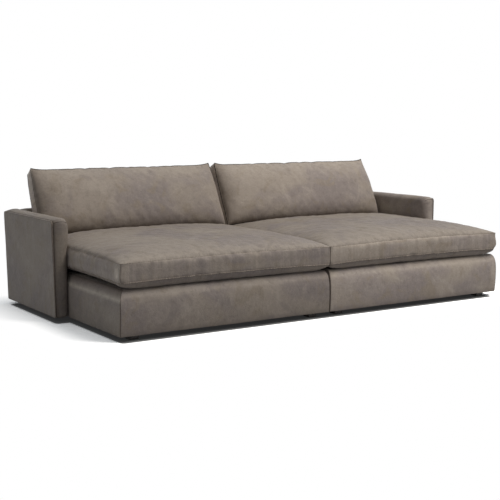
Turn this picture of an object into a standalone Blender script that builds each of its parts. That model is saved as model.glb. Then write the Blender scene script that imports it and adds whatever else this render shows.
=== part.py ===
"""Double chaise sofa: two mirrored chaises that stand side by side and hook together. Each has one arm,
a low back, a loose seat cushion and a loose back cushion. Metres, +Z up. The front faces -Y, and the
origin lies on the floor under the middle of the sofa.

Each chaise is built once with its sizes measured outwards from the sofa's middle, and side turns that
into X: -1 for the left chaise and +1 for the right one."""

import math

import bmesh
import bpy
from mathutils import Vector

# The sofa as a whole
overall_width = 3.20
overall_depth = 1.63
floor_gap = 0.030
module_gap = 0.003

# Seat base
base_height = 0.303
base_skin = 0.018
base_edge_radius = 0.045
base_corner_radius = 0.020
base_top_border = 0.110
base_bottom_tuck = 0.045

# Arms
arm_height = 0.665
arm_thickness = 0.092
arm_length = 0.877
arm_crown = 0.014
arm_inner_radius = 0.030

# Back
back_above_arm = 0.003
back_thickness = 0.120
back_crown = 0.010
back_front_radius = 0.034

# Upholstery shared by the arms and the back
wrap_skin = 0.012
wrap_corner_radius = 0.022
wrap_rim_radius = 0.006
wrap_hem_radius = 0.004
cavity_corner_radius = 0.001
panel_thickness = 0.009
hem_fold = 0.004

# Timber frames
rail_thickness = 0.032
rail_edge_radius = 0.006
frame_member = 0.060
frame_skin_gap = 0.001
back_posts = 4
arm_posts = 3

# Springing, deck and dust cover
webbing_thickness = 0.002
webbing_straps = 5
webbing_open_share = 0.42
webbing_overlap = 0.026
deck_pad_thickness = 0.014
dust_cover_thickness = 0.0012

# Feet
foot_width = 0.067
foot_taper = 0.004
foot_corner_radius = 0.006
foot_edge_chamfer = 0.002
foot_side_inset = 0.072
foot_front_inset = 0.040
foot_rear_inset = 0.060

# Sectional connector
connector_plate_thickness = 0.003
connector_plate_width = 0.084
connector_plate_root = 0.070
connector_plate_end = 0.018
connector_slot_length = 0.036
connector_slot_width = 0.012
connector_slot_offset = 0.034
connector_slip = 0.0015
connector_flange_length = 0.064
connector_flange_margin = 0.012
connector_tongue_depth = 0.009
connector_tongue_taper = 0.0015
connector_corner_radius = 0.003

# Seat cushions
seat_side_gap = 0.003
seat_rear_gap = 0.006
seat_front_gap = 0.0005
seat_seam_rise = 0.038
seat_seam_spacing = 0.119
seat_seam_lift = 0.009
seat_side_draw = 0.010
seat_boxing_bulge = 0.008
seat_corner_pinch = 0.007
seat_crown = 0.060
seat_belly = 0.060
seat_press = 0.028
seat_press_run = 0.200

# Back cushions
back_cushion_inner_gap = 0.0125
back_cushion_outer_gap = 0.041
back_cushion_foot_depth = 0.215
back_cushion_lean = 0.226
back_cushion_top = 0.945
back_cushion_edge = 0.100
back_cushion_crown = 0.050
back_cushion_rear_crown = 0.014
back_cushion_side_draw = 0.004
back_cushion_top_draw = 0.010
back_cushion_inner_bulge = 0.010
back_cushion_outer_bulge = 0.004
back_cushion_top_bulge = 0.008
back_cushion_top_taper = 0.018
back_cushion_pocket = 0.010
back_cushion_droop = 0.014
back_cushion_rear_gap = 0.0004
back_cushion_clear_top = 0.010

# Cushion covers and cores
cover_thickness = 0.004

# Faces that touch stay this far apart
fit_clearance = 0.0003

# Counts, and shares of the sizes above
corner_steps = 3
edge_steps = 3
crown_steps = 3
cushion_columns = 10
cushion_rows = 8
boxing_shares = (0.0, 0.38, 0.62, 1.0)
zip_layer = 1
cover_zip_end_share = 0.2
seat_crown_power = 6
seat_belly_power = 12
mound_softness = 0.5
back_crown_power = 6
back_rise_power = 3
back_taper_power = 4

# Heights and places that follow from the sizes above
half_width = overall_width / 2
front_face = -overall_depth / 2
rear_face = overall_depth / 2
module_inner = module_gap / 2
arm_inner = half_width - arm_thickness
base_outer = arm_inner - fit_clearance
arm_front = rear_face - arm_length
back_height = arm_height + back_above_arm
back_front = rear_face - back_thickness
base_rear = back_front - fit_clearance
back_outer = arm_inner - fit_clearance
dust_cover_bottom = floor_gap - fit_clearance - dust_cover_thickness
foot_top = dust_cover_bottom - fit_clearance
rail_low = floor_gap + base_skin + fit_clearance
webbing_top = base_height - base_skin - fit_clearance
rail_high = webbing_top - webbing_thickness - fit_clearance
rail_inset = base_skin + fit_clearance

seat_inner = module_inner + seat_side_gap / 2
seat_outer = arm_inner - seat_side_gap
seat_front = front_face + seat_front_gap
seat_rear = back_front - seat_rear_gap
seat_rest = base_height + fit_clearance
seat_seam_low = base_height + seat_seam_rise
seat_seam_high = seat_seam_low + seat_seam_spacing

back_cushion_inner = back_cushion_inner_gap
back_cushion_outer = arm_inner - back_cushion_outer_gap
back_cushion_front = back_front - back_cushion_foot_depth
back_cushion_top_front = back_cushion_front + back_cushion_lean
seat_press_start = back_cushion_front - seat_press_run


def clear_scene():
    for thing in list(bpy.data.objects):
        bpy.data.objects.remove(thing, do_unlink=True)


def lerp(start, end, share):
    return start + (end - start) * share


def make_material(name, colour, roughness, metallic=0.0):
    material = bpy.data.materials.new(name)
    material.use_nodes = True
    shader = material.node_tree.nodes["Principled BSDF"]
    shader.inputs["Base Color"].default_value = (*colour, 1.0)
    shader.inputs["Roughness"].default_value = roughness
    shader.inputs["Metallic"].default_value = metallic
    material.diffuse_color = (*colour, 1.0)
    return material


def make_anchor(name, place, parent=None):
    """An empty on a body's joint axis: the body's pieces hang from it."""
    anchor = bpy.data.objects.new(name, None)
    anchor["place"] = place
    if parent:
        anchor.parent = parent
        anchor.location = Vector(place) - Vector(parent["place"])
    else:
        anchor.location = place
    bpy.context.scene.collection.objects.link(anchor)
    return anchor


def make_piece(name, shape, material, anchor, smooth_angle=35):
    """Turns a bmesh in sofa coordinates into a piece whose origin lies on its anchor."""
    bmesh.ops.recalc_face_normals(shape, faces=shape.faces)
    bmesh.ops.translate(shape, verts=shape.verts, vec=-Vector(anchor["place"]))
    mesh = bpy.data.meshes.new(name)
    shape.to_mesh(mesh)
    shape.free()
    mesh.materials.append(material)
    mesh.shade_smooth()
    mesh.set_sharp_from_angle(angle=math.radians(smooth_angle))
    piece = bpy.data.objects.new(name, mesh)
    piece.parent = anchor
    bpy.context.scene.collection.objects.link(piece)
    return piece


def rounded_outline(left, right, low, high, radius, low_radius=None):
    """Points round a rectangle whose corners are arcs, anticlockwise from its lower right corner. Its
    two lower corners can have a radius of their own."""
    if low_radius is None:
        low_radius = radius
    corners = (
        (right - low_radius, low + low_radius, low_radius),
        (right - radius, high - radius, radius),
        (left + radius, high - radius, radius),
        (left + low_radius, low + low_radius, low_radius),
    )
    points = []
    for quarter, (across, up, reach) in enumerate(corners):
        for step in range(corner_steps + 1):
            angle = math.radians(90) * (quarter - 1 + step / corner_steps)
            points.append((across + reach * math.cos(angle), up + reach * math.sin(angle)))
    return points


def loft(loops, closed=False):
    """Skins loops of equal length in turn. Caps close the two ends, or the last loop meets the first."""
    shape = bmesh.new()
    rings = [[shape.verts.new(point) for point in loop] for loop in loops]
    pairs = list(zip(rings, rings[1:]))
    if closed:
        pairs.append((rings[-1], rings[0]))
    else:
        shape.faces.new(rings[0])
        shape.faces.new(rings[-1])
    for first, second in pairs:
        for i in range(len(first)):
            j = (i + 1) % len(first)
            shape.faces.new((first[i], first[j], second[j], second[i]))
    return shape


def box(lower, upper, edge=0.0):
    """A block between two corners, with its edges rounded by one bevel."""
    shape = bmesh.new()
    bmesh.ops.create_cube(shape, size=1)
    for vert in shape.verts:
        for axis in range(3):
            vert.co[axis] = lower[axis] if vert.co[axis] < 0 else upper[axis]
    if edge:
        bmesh.ops.bevel(shape, geom=shape.edges, offset=edge, segments=1, affect="EDGES")
    return shape


def cell_edges(cell):
    """The edges round a cell, as pairs of its corners."""
    return [(cell[n], cell[(n + 1) % len(cell)]) for n in range(len(cell))]


def lattice(across_cuts, up_cuts, open_cell, low, high, place):
    """A plate of grid cells with some left open. place(across, up, through) gives a point."""
    shape = bmesh.new()
    columns = len(across_cuts) - 1
    rows = len(up_cuts) - 1
    verts = {}

    def vert(i, j, side):
        if (i, j, side) not in verts:
            point = place(across_cuts[i], up_cuts[j], high if side else low)
            verts[i, j, side] = shape.verts.new(point)
        return verts[i, j, side]

    def filled(i, j):
        return 0 <= i < columns and 0 <= j < rows and not open_cell(i, j)

    for i in range(columns):
        for j in range(rows):
            if not filled(i, j):
                continue
            corners = ((i, j), (i + 1, j), (i + 1, j + 1), (i, j + 1))
            for side in (0, 1):
                shape.faces.new([vert(a, b, side) for a, b in corners])
            beyond = ((i, j - 1), (i + 1, j), (i, j + 1), (i - 1, j))
            for (start, end), neighbour in zip(cell_edges(corners), beyond):
                if filled(*neighbour):
                    continue
                shape.faces.new((vert(*start, 0), vert(*end, 0), vert(*end, 1), vert(*start, 1)))
    return shape


def strap_cuts(low, high, straps, open_share):
    """Edges of evenly spaced straps from low to high: strap, gap, strap and so on."""
    pitch = (high - low) / (straps - open_share)
    cuts = []
    for strap in range(straps):
        start = low + pitch * strap
        cuts += [start, start + pitch * (1 - open_share)]
    return cuts


def ladder_cuts(low, high, posts):
    """Edges of equally spaced posts, one frame member wide."""
    cuts = []
    for post in range(posts):
        start = lerp(low, high - frame_member, post / (posts - 1))
        cuts += [start, start + frame_member]
    return cuts


def ladder(sides, posts, low, high, place):
    """A timber frame of two rails and some posts that fills four sides. place(through, across, up)."""
    across = ladder_cuts(sides[0], sides[1], posts)
    up = ladder_cuts(sides[2], sides[3], 2)

    def window(i, j):
        return i % 2 == 1 and j == 1

    return lattice(across, up, window, low, high, lambda a, b, through: place(through, a, b))


def drawn_in(edges, drawn, inset, wall=0.0):
    """An outline's four sides, low and high across and then up. Sides that drawn marks with 1 move in by
    inset, and all of them by wall."""
    signs = (1, -1, 1, -1)
    return [
        edge + sign * (inset * share + wall) for edge, sign, share in zip(edges, signs, drawn)
    ]


def tray(inner, rim, edges, drawn, round_radius, crown, place):
    """An upholstered tray that an outer panel closes. It runs from a rounded show face at inner to the
    rim, where its upper corners are nearly square, and drawn marks the sides that are crowned.
    place(through, across, up) gives a point."""

    def ring(through, inset, wall=0.0):
        sides = drawn_in(edges, drawn, inset, wall)
        if wall:
            outline = rounded_outline(*sides, cavity_corner_radius)
        else:
            radius = lerp(wrap_corner_radius, wrap_rim_radius, (through - inner) / (rim - inner))
            outline = rounded_outline(*sides, radius, wrap_hem_radius)
        return [place(through, a, b) for a, b in outline]

    loops = []
    for step in range(edge_steps + 1):
        angle = math.radians(90) * step / edge_steps
        through = inner + round_radius * (1 - math.cos(angle))
        loops.append(ring(through, round_radius * (1 - math.sin(angle))))
    for step in range(1, crown_steps + 1):
        share = step / crown_steps
        loops.append(ring(lerp(inner + round_radius, rim, share), crown * share * share))
    loops.append(ring(rim, crown, wrap_skin))
    loops.append(ring(inner + wrap_skin, crown, wrap_skin))
    return loft(loops)


def outer_panel(rim, outer, edges, drawn, crown, place):
    """A flat upholstered panel over a tray's rim, its edges folded over."""

    def ring(through, fold=0.0):
        sides = drawn_in(edges, drawn, crown, fold)
        outline = rounded_outline(*sides, wrap_rim_radius, wrap_hem_radius)
        return [place(through, a, b) for a, b in outline]

    return loft([ring(rim), ring(outer - hem_fold), ring(outer, hem_fold)])


def build_rails(prefix, side, wood, anchor):
    """Front and rear rails run right across. The side and centre rails stand between them."""
    outer = base_outer - rail_inset
    inner = module_inner + rail_inset
    front = front_face + rail_inset
    rear = base_rear - rail_inset
    between_front = front + rail_thickness + fit_clearance
    between_rear = rear - rail_thickness - fit_clearance
    middle = (inner + outer) / 2
    spans = {
        "front_rail": (inner, outer, front, front + rail_thickness),
        "rear_rail": (inner, outer, rear - rail_thickness, rear),
        "outer_rail": (outer - rail_thickness, outer, between_front, between_rear),
        "inner_rail": (inner, inner + rail_thickness, between_front, between_rear),
        "centre_rail": (
            middle - rail_thickness / 2,
            middle + rail_thickness / 2,
            between_front,
            between_rear,
        ),
    }
    for name, (low, high, near, far) in spans.items():
        left, right = sorted((side * low, side * high))
        shape = box((left, near, rail_low), (right, far, rail_high), rail_edge_radius)
        make_piece(f"{prefix}_{name}", shape, wood, anchor)


def build_springing(prefix, side, webbing, felt, anchor):
    """Webbing straps lie over the rails, and the deck pad fills the opening in the base cover."""
    reach = rail_inset + rail_thickness - webbing_overlap
    across = strap_cuts(
        module_inner + reach, base_outer - reach, webbing_straps, webbing_open_share
    )
    along = strap_cuts(front_face + reach, base_rear - reach, webbing_straps, webbing_open_share)

    def place(out, y, z):
        return side * out, y, z

    def between_straps(i, j):
        return i % 2 == 1 and j % 2 == 1

    shape = lattice(
        across, along, between_straps, webbing_top - webbing_thickness, webbing_top, place
    )
    make_piece(f"{prefix}_seat_webbing", shape, webbing, anchor)

    border = base_top_border + fit_clearance
    left, right = sorted((side * (module_inner + border), side * (base_outer - border)))
    lower = (left, front_face + border, base_height - deck_pad_thickness)
    upper = (right, base_rear - border, base_height)
    make_piece(f"{prefix}_deck_pad", box(lower, upper), felt, anchor)


def build_base_cover(prefix, side, leather, anchor):
    """The padded cover round the rails: up the outside, over a soft rolled edge, and tucked in above
    and below. Its section is swept round the base as one closed ring."""
    profile = [
        (base_bottom_tuck, floor_gap),
        (0.0, floor_gap),
    ]
    for step in range(edge_steps + 1):
        angle = math.radians(90) * step / edge_steps
        inset = base_edge_radius * (1 - math.cos(angle))
        height = base_height - base_edge_radius * (1 - math.sin(angle))
        profile.append((inset, height))
    profile += [
        (base_top_border, base_height),
        (base_top_border, base_height - base_skin),
        (base_skin, base_height - base_skin),
        (base_skin, floor_gap + base_skin),
        (base_bottom_tuck, floor_gap + base_skin),
    ]
    loops = []
    for inset, height in profile:
        radius = max(base_corner_radius - inset, fit_clearance)
        outline = rounded_outline(
            module_inner + inset,
            base_outer - inset,
            front_face + inset,
            base_rear - inset,
            radius,
        )
        loops.append([(side * out, y, height) for out, y in outline])
    make_piece(f"{prefix}_base_cover", loft(loops, closed=True), leather, anchor)


def build_dust_cover(prefix, side, cloth, anchor):
    inset = base_bottom_tuck / 2
    left, right = sorted((side * (module_inner + inset), side * (base_outer - inset)))
    lower = (left, front_face + inset, dust_cover_bottom)
    upper = (right, base_rear - inset, dust_cover_bottom + dust_cover_thickness)
    make_piece(f"{prefix}_dust_cover", box(lower, upper), cloth, anchor)


def build_arm(prefix, side, leather, wood, anchor):
    """The wrap covers the arm's front, top, back and inside, and the outer panel closes it."""

    def place(out, y, z):
        return side * out, y, z

    edges = (arm_front, rear_face, floor_gap, arm_height)
    drawn = (1, 0, 0, 1)
    rim = half_width - panel_thickness - fit_clearance
    wrap = tray(arm_inner, rim, edges, drawn, arm_inner_radius, arm_crown, place)
    make_piece(f"{prefix}_arm_wrap", wrap, leather, anchor)
    panel = outer_panel(rim + fit_clearance, half_width, edges, drawn, arm_crown, place)
    make_piece(f"{prefix}_arm_outer_panel", panel, leather, anchor)

    inside = drawn_in(edges, drawn, arm_crown, wrap_skin + frame_skin_gap)
    frame = ladder(inside, arm_posts, arm_inner + wrap_skin + fit_clearance, rim, place)
    make_piece(f"{prefix}_arm_frame", frame, wood, anchor)


def build_back(prefix, side, leather, wood, anchor):
    """The low back stands behind the base and runs from the arm to the middle of the sofa."""

    def place(y, out, z):
        return side * out, y, z

    edges = (module_inner, back_outer, floor_gap, back_height)
    drawn = (0, 0, 0, 1)
    rim = rear_face - panel_thickness - fit_clearance
    wrap = tray(back_front, rim, edges, drawn, back_front_radius, back_crown, place)
    make_piece(f"{prefix}_back_wrap", wrap, leather, anchor)
    panel = outer_panel(rim + fit_clearance, rear_face, edges, drawn, back_crown, place)
    make_piece(f"{prefix}_back_outer_panel", panel, leather, anchor)

    inside = drawn_in(edges, drawn, back_crown, wrap_skin + frame_skin_gap)
    frame = ladder(inside, back_posts, back_front + wrap_skin + fit_clearance, rim, place)
    make_piece(f"{prefix}_back_frame", frame, wood, anchor)


def build_feet(prefix, side, stained, anchor):
    """Four low blocks, tapered a little towards the floor."""
    half = foot_width / 2
    places = {
        "front_outer": (base_outer - foot_side_inset - half, front_face + foot_front_inset + half),
        "front_inner": (module_inner + foot_side_inset + half, front_face + foot_front_inset + half),
        "rear_outer": (base_outer - foot_side_inset - half, base_rear - foot_rear_inset - half),
        "rear_inner": (module_inner + foot_side_inset + half, base_rear - foot_rear_inset - half),
    }
    stations = (
        (foot_top, 0.0),
        (foot_edge_chamfer, foot_taper / 2),
        (0.0, foot_taper / 2 + foot_edge_chamfer),
    )
    for name, (out, y) in places.items():
        loops = []
        for height, inset in stations:
            reach = half - inset
            outline = rounded_outline(
                side * out - reach, side * out + reach, y - reach, y + reach, foot_corner_radius
            )
            loops.append([(x, along, height) for x, along in outline])
        make_piece(f"{prefix}_{name}_foot", loft(loops), stained, anchor)


def build_connector(steel, left_anchor, right_anchor):
    """The left chaise carries a stepped steel plate that reaches under the right one. The right chaise
    carries a flange whose tongue drops into the plate's slot."""
    out = connector_slot_offset
    along = (front_face + base_rear) / 2
    drop = connector_plate_thickness + fit_clearance
    step_start = -connector_flange_margin
    step_end = module_inner + fit_clearance
    root_high = dust_cover_bottom - fit_clearance
    root_low = root_high - connector_plate_thickness
    half_plate = connector_plate_width / 2
    half_long = connector_slot_length / 2
    half_thin = connector_slot_width / 2

    def place(x, y, z):
        share = min(max((x - step_start) / (step_end - step_start), 0.0), 1.0)
        return x, y, z - drop * share

    across = (
        step_start - connector_plate_root,
        step_start,
        step_end,
        out - half_thin,
        out + half_thin,
        out + half_thin + connector_plate_end,
    )
    lengthwise = (along - half_plate, along - half_long, along + half_long, along + half_plate)

    def slot(i, j):
        return i == 3 and j == 1

    plate = lattice(across, lengthwise, slot, root_low, root_high, place)
    make_piece("left_connector_plate", plate, steel, left_anchor)

    flange_reach = out - step_end - connector_slip
    flange_half = connector_flange_length / 2
    tongue_thin = half_thin - connector_slip
    tongue_long = half_long - connector_slip
    tongue_low = root_low - drop - connector_tongue_depth
    taper = connector_tongue_taper
    stations = (
        (root_high, flange_reach, flange_half),
        (root_low, flange_reach, flange_half),
        (root_low, tongue_thin, tongue_long),
        (root_low - drop, tongue_thin, tongue_long),
        (tongue_low, tongue_thin - taper, tongue_long - taper),
    )
    loops = []
    for height, reach, length in stations:
        radius = min(connector_corner_radius, reach / 2)
        outline = rounded_outline(out - reach, out + reach, along - length, along + length, radius)
        loops.append([(x, y, height) for x, y in outline])
    make_piece("right_connector_tongue", loft(loops), steel, right_anchor)


def pillow_cells():
    """Every quad of a boxed pillow, as the grid corners (column, row, layer) that it joins."""
    layers = len(boxing_shares) - 1
    cells = []
    for i in range(cushion_columns):
        for j in range(cushion_rows):
            for k in (0, layers):
                cells.append(((i, j, k), (i + 1, j, k), (i + 1, j + 1, k), (i, j + 1, k)))
    for k in range(layers):
        for i in range(cushion_columns):
            for j in (0, cushion_rows):
                cells.append(((i, j, k), (i + 1, j, k), (i + 1, j, k + 1), (i, j, k + 1)))
        for j in range(cushion_rows):
            for i in (0, cushion_columns):
                cells.append(((i, j, k), (i, j + 1, k), (i, j + 1, k + 1), (i, j, k + 1)))
    return cells


def pillow_grid(surface):
    """Points of a boxed pillow by grid corner. Cells are narrower towards its edges."""
    layers = len(boxing_shares) - 1
    grid = {}
    for i in range(cushion_columns + 1):
        across = math.sin(math.radians(90) * (2 * i / cushion_columns - 1))
        for j in range(cushion_rows + 1):
            along = math.sin(math.radians(90) * (2 * j / cushion_rows - 1))
            on_edge = i in (0, cushion_columns) or j in (0, cushion_rows)
            for k in range(layers + 1) if on_edge else (0, layers):
                grid[i, j, k] = Vector(surface(across, along, boxing_shares[k]))
    return grid


def zip_columns():
    """The first and last columns of the zip, which leaves the same share of each end plain."""
    first = round(cushion_columns * cover_zip_end_share)
    return first, cushion_columns - first


def build_cover(name, surface_at, zip_row, leather, anchor):
    """A leather cover as one shell: an outer and an inner skin, joined round the zip's opening."""
    first, last = zip_columns()
    corners_of_zip = {(i, zip_row, k) for i in range(first, last + 1) for k in (zip_layer, zip_layer + 1)}
    shape = bmesh.new()
    skins = []
    for inset in (0.0, cover_thickness):
        grid = pillow_grid(lambda u, v, t: surface_at(u, v, t, inset))
        skins.append({corner: shape.verts.new(point) for corner, point in grid.items()})
    opening = [cell for cell in pillow_cells() if corners_of_zip.issuperset(cell)]
    for skin in skins:
        for cell in pillow_cells():
            if cell not in opening:
                shape.faces.new([skin[corner] for corner in cell])
    uses = {}
    for cell in opening:
        for edge in cell_edges(cell):
            uses.setdefault(frozenset(edge), []).append(edge)
    for (start, end), *more in uses.values():
        if not more:
            outer, inner = skins
            shape.faces.new((outer[start], outer[end], inner[end], inner[start]))
    make_piece(name, shape, leather, anchor)


def build_zip(name, surface_at, zip_row, tape, anchor):
    """The zip's tape fills the opening in the cover, a fit clearance inside its edges."""
    first, last = zip_columns()
    outer = pillow_grid(lambda u, v, t: surface_at(u, v, t, 0.0))
    inner = pillow_grid(lambda u, v, t: surface_at(u, v, t, cover_thickness))

    def section(column):
        whole = min(int(column), last - 1)
        share = column - whole
        low, high = [
            [
                lerp(grid[whole, zip_row, layer], grid[whole + 1, zip_row, layer], share)
                for grid in (outer, inner)
            ]
            for layer in (zip_layer, zip_layer + 1)
        ]
        trim = fit_clearance / (high[0] - low[0]).length
        return [
            lerp(low[0], high[0], trim),
            lerp(low[0], high[0], 1 - trim),
            lerp(low[1], high[1], 1 - trim),
            lerp(low[1], high[1], trim),
        ]

    ends = []
    for column, neighbour in ((first, first + 1), (last, last - 1)):
        reach = outer[neighbour, zip_row, zip_layer] - outer[column, zip_row, zip_layer]
        ends.append(column + (neighbour - column) * fit_clearance / reach.length)
    stations = [ends[0], *range(first + 1, last), ends[1]]
    make_piece(name, loft([section(column) for column in stations]), tape, anchor)


def build_core(name, surface_at, foam, anchor):
    """The filling, one closed body inside the cover's inner skin."""
    inset = cover_thickness + fit_clearance
    shape = bmesh.new()
    grid = pillow_grid(lambda u, v, t: surface_at(u, v, t, inset))
    verts = {corner: shape.verts.new(point) for corner, point in grid.items()}
    for cell in pillow_cells():
        shape.faces.new([verts[corner] for corner in cell])
    make_piece(name, shape, foam, anchor)


def mound(u, v, power_across, power_along):
    """1 in the middle of a panel and 0 along its edges."""
    return (1 - abs(u) ** power_across) * (1 - abs(v) ** power_along)


def steep_mound(u, v, power):
    """The same, rising steeply from the edges as a tight filling does."""
    return mound(u, v, power, power) ** mound_softness


def seat_surface(side):
    """The seat cushion: u runs outwards, v to the rear and t from the lower seam to the upper one."""
    middle_out = (seat_inner + seat_outer) / 2
    middle_y = (seat_front + seat_rear) / 2

    def surface_at(u, v, t, inset):
        half_out = (seat_outer - seat_inner) / 2 - inset
        half_y = (seat_rear - seat_front) / 2 - inset
        between_corners = 1 - (u * v) ** 2
        bulge = lerp(-seat_corner_pinch, seat_boxing_bulge, between_corners) * 4 * t * (1 - t)
        out = u * (half_out - seat_side_draw * (1 - v * v))
        y = v * (half_y - seat_side_draw * (1 - u * u))
        if abs(u) == 1:
            out += u * bulge
        if abs(v) == 1:
            y += v * bulge
        lift = seat_seam_lift * between_corners
        press_share = (middle_y + y - seat_press_start) / seat_press_run
        pressed = seat_press * min(max(press_share, 0.0), 1.0)
        crown = (seat_crown - pressed) * steep_mound(u, v, seat_crown_power)
        top = seat_seam_high + lift + crown - inset
        belly = seat_belly * steep_mound(u, v, seat_belly_power)
        bottom = max(seat_seam_low + lift - belly, seat_rest) + inset
        return side * (middle_out + out), middle_y + y, lerp(bottom, top, t)

    return surface_at


def back_foot_height():
    """How high the back cushion's front foot stands, so that its bottom, which falls by the pocket
    towards the rear, rests on the facets along the middle of the seat cushion's top."""
    grid = pillow_grid(lambda u, v, t: seat_surface(1)(u, v, t, 0.0))
    middle = cushion_columns // 2
    top = len(boxing_shares) - 1
    profile = [grid[middle, j, top] for j in range(cushion_rows + 1)]
    needed = []
    for near, far in zip(profile, profile[1:]):
        start = max(near.y, back_cushion_front)
        if start > far.y:
            continue
        at_start = lerp(near, far, (start - near.y) / (far.y - near.y))
        for point in (at_start, far):
            back_share = (point.y - back_cushion_front) / (back_front - back_cushion_front)
            needed.append(point.z + back_cushion_pocket * back_share)
    return max(needed) + fit_clearance


def back_surface(side):
    """The back cushion: u runs outwards, v up its slope and t from the rear seam to the front one. Its
    side is a leaning block whose rear stands against the low back and leans over the top of it."""
    middle_out = (back_cushion_inner + back_cushion_outer) / 2
    foot = back_foot_height()
    slope = Vector((back_cushion_top_front - back_cushion_front, back_cushion_top - foot))
    up = slope.normalized()
    inward = Vector((up.y, -up.x))
    rear_foot = Vector((back_front - back_cushion_rear_gap, foot - back_cushion_pocket))
    rear_bend = Vector((rear_foot.x, back_height + back_cushion_clear_top))

    def section(inset):
        """Front foot, front top, rear foot, rear bend and rear top, as (y, z)."""
        front_foot = Vector((back_cushion_front, foot))
        front_foot += inset * Vector(((1 + up.x) / up.y, 1.0))
        front_top = Vector((back_cushion_top_front, back_cushion_top)) + inset * (inward - up)
        rear_top = Vector((back_cushion_top_front, back_cushion_top))
        rear_top += inward * (back_cushion_edge - inset) - up * inset
        return (
            front_foot,
            front_top,
            rear_foot + inset * Vector((-1.0, 1.0)),
            rear_bend - Vector((inset, 0.0)),
            rear_top,
        )

    def surface_at(u, v, t, inset):
        front_foot, front_top, low, bend, high = section(inset)
        share = (v + 1) / 2
        front = lerp(front_foot, front_top, share)
        rear = lerp(low, bend, 2 * share) if v < 0 else lerp(bend, high, v)
        crown = mound(u, v, back_crown_power, back_rise_power) ** mound_softness
        front = front - inward * back_cushion_crown * crown
        rear = rear + inward * back_cushion_rear_crown * crown * max(v, 0.0)
        puffed = 4 * t * (1 - t) * (1 - (u * v) ** 2)
        half_out = (back_cushion_outer - back_cushion_inner) / 2 - inset
        drawn = back_cushion_side_draw * (1 - v * v)
        drawn += back_cushion_top_taper * share**back_taper_power
        out = u * (half_out - drawn)
        if u == 1:
            out += back_cushion_outer_bulge * puffed
        if u == -1:
            out -= back_cushion_inner_bulge * puffed
        point = lerp(rear, front, t)
        edge_draw = back_cushion_top_draw * (1 - u * u)
        if v > 0:
            point = point - up * edge_draw * v
        else:
            fall = back_cushion_droop * (1 - steep_mound(u, 0.0, seat_crown_power)) * v * v
            point = point - Vector((0.0, fall))
        if v == 1:
            point = point + up * back_cushion_top_bulge * puffed
        return side * (middle_out + out), point.x, point.y

    return surface_at


def build_cushions(prefix, side, leather, tape, foam, fibre, seat_anchor, back_anchor):
    seat = seat_surface(side)
    build_cover(f"{prefix}_seat_cushion_cover", seat, cushion_rows, leather, seat_anchor)
    build_zip(f"{prefix}_seat_cushion_zip", seat, cushion_rows, tape, seat_anchor)
    build_core(f"{prefix}_seat_foam_core", seat, foam, seat_anchor)
    back = back_surface(side)
    build_cover(f"{prefix}_back_cushion_cover", back, 0, leather, back_anchor)
    build_zip(f"{prefix}_back_cushion_zip", back, 0, tape, back_anchor)
    build_core(f"{prefix}_back_fibre_core", back, fibre, back_anchor)


def build_sofa():
    clear_scene()
    leather = make_material("taupe_leather", (0.29, 0.25, 0.21), 0.62)
    wood = make_material("frame_timber", (0.62, 0.45, 0.28), 0.60)
    stained = make_material("espresso_wood", (0.045, 0.033, 0.028), 0.45)
    webbing = make_material("elastic_webbing", (0.12, 0.11, 0.10), 0.85)
    felt = make_material("deck_felt", (0.16, 0.14, 0.13), 0.90)
    cloth = make_material("dust_cloth", (0.03, 0.03, 0.03), 0.90)
    foam = make_material("seat_foam", (0.86, 0.80, 0.62), 0.90)
    fibre = make_material("back_fibre", (0.88, 0.88, 0.86), 0.95)
    tape = make_material("zip_tape", (0.10, 0.085, 0.075), 0.70)
    steel = make_material("zinc_steel", (0.55, 0.56, 0.57), 0.35, 1.0)

    middle_out = (seat_inner + seat_outer) / 2
    middle_y = (seat_front + seat_rear) / 2
    left_chaise = make_anchor("left_chaise", (-middle_out, middle_y, 0.0))
    right_chaise = make_anchor("right_chaise", (middle_out, middle_y, 0.0), left_chaise)
    chaises = (("left", -1, left_chaise), ("right", 1, right_chaise))
    for prefix, side, chaise in chaises:
        build_rails(prefix, side, wood, chaise)
        build_springing(prefix, side, webbing, felt, chaise)
        build_base_cover(prefix, side, leather, chaise)
        build_dust_cover(prefix, side, cloth, chaise)
        build_arm(prefix, side, leather, wood, chaise)
        build_back(prefix, side, leather, wood, chaise)
        build_feet(prefix, side, stained, chaise)
        seat = make_anchor(f"{prefix}_seat_cushion", (side * middle_out, middle_y, seat_rest), chaise)
        foot = (side * middle_out, back_cushion_front, back_foot_height())
        back = make_anchor(f"{prefix}_back_cushion", foot, seat)
        build_cushions(prefix, side, leather, tape, foam, fibre, seat, back)
    build_connector(steel, left_chaise, right_chaise)


build_sofa()
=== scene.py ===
"""Looks of the double chaise sofa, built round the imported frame: leather covers with their seams, puffed
cushions, zips, deck pads, dust covers, a pale floor, soft light and the camera of the photograph. Metres,
+Z up. Each piece is built with its places measured outwards from the sofa's middle, and side turns that
into X: -1 for the left chaise and +1 for the right one."""

import math

import bmesh
import bpy
import numpy as np
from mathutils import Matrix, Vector, noise
from mathutils.bvhtree import BVHTree


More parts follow.
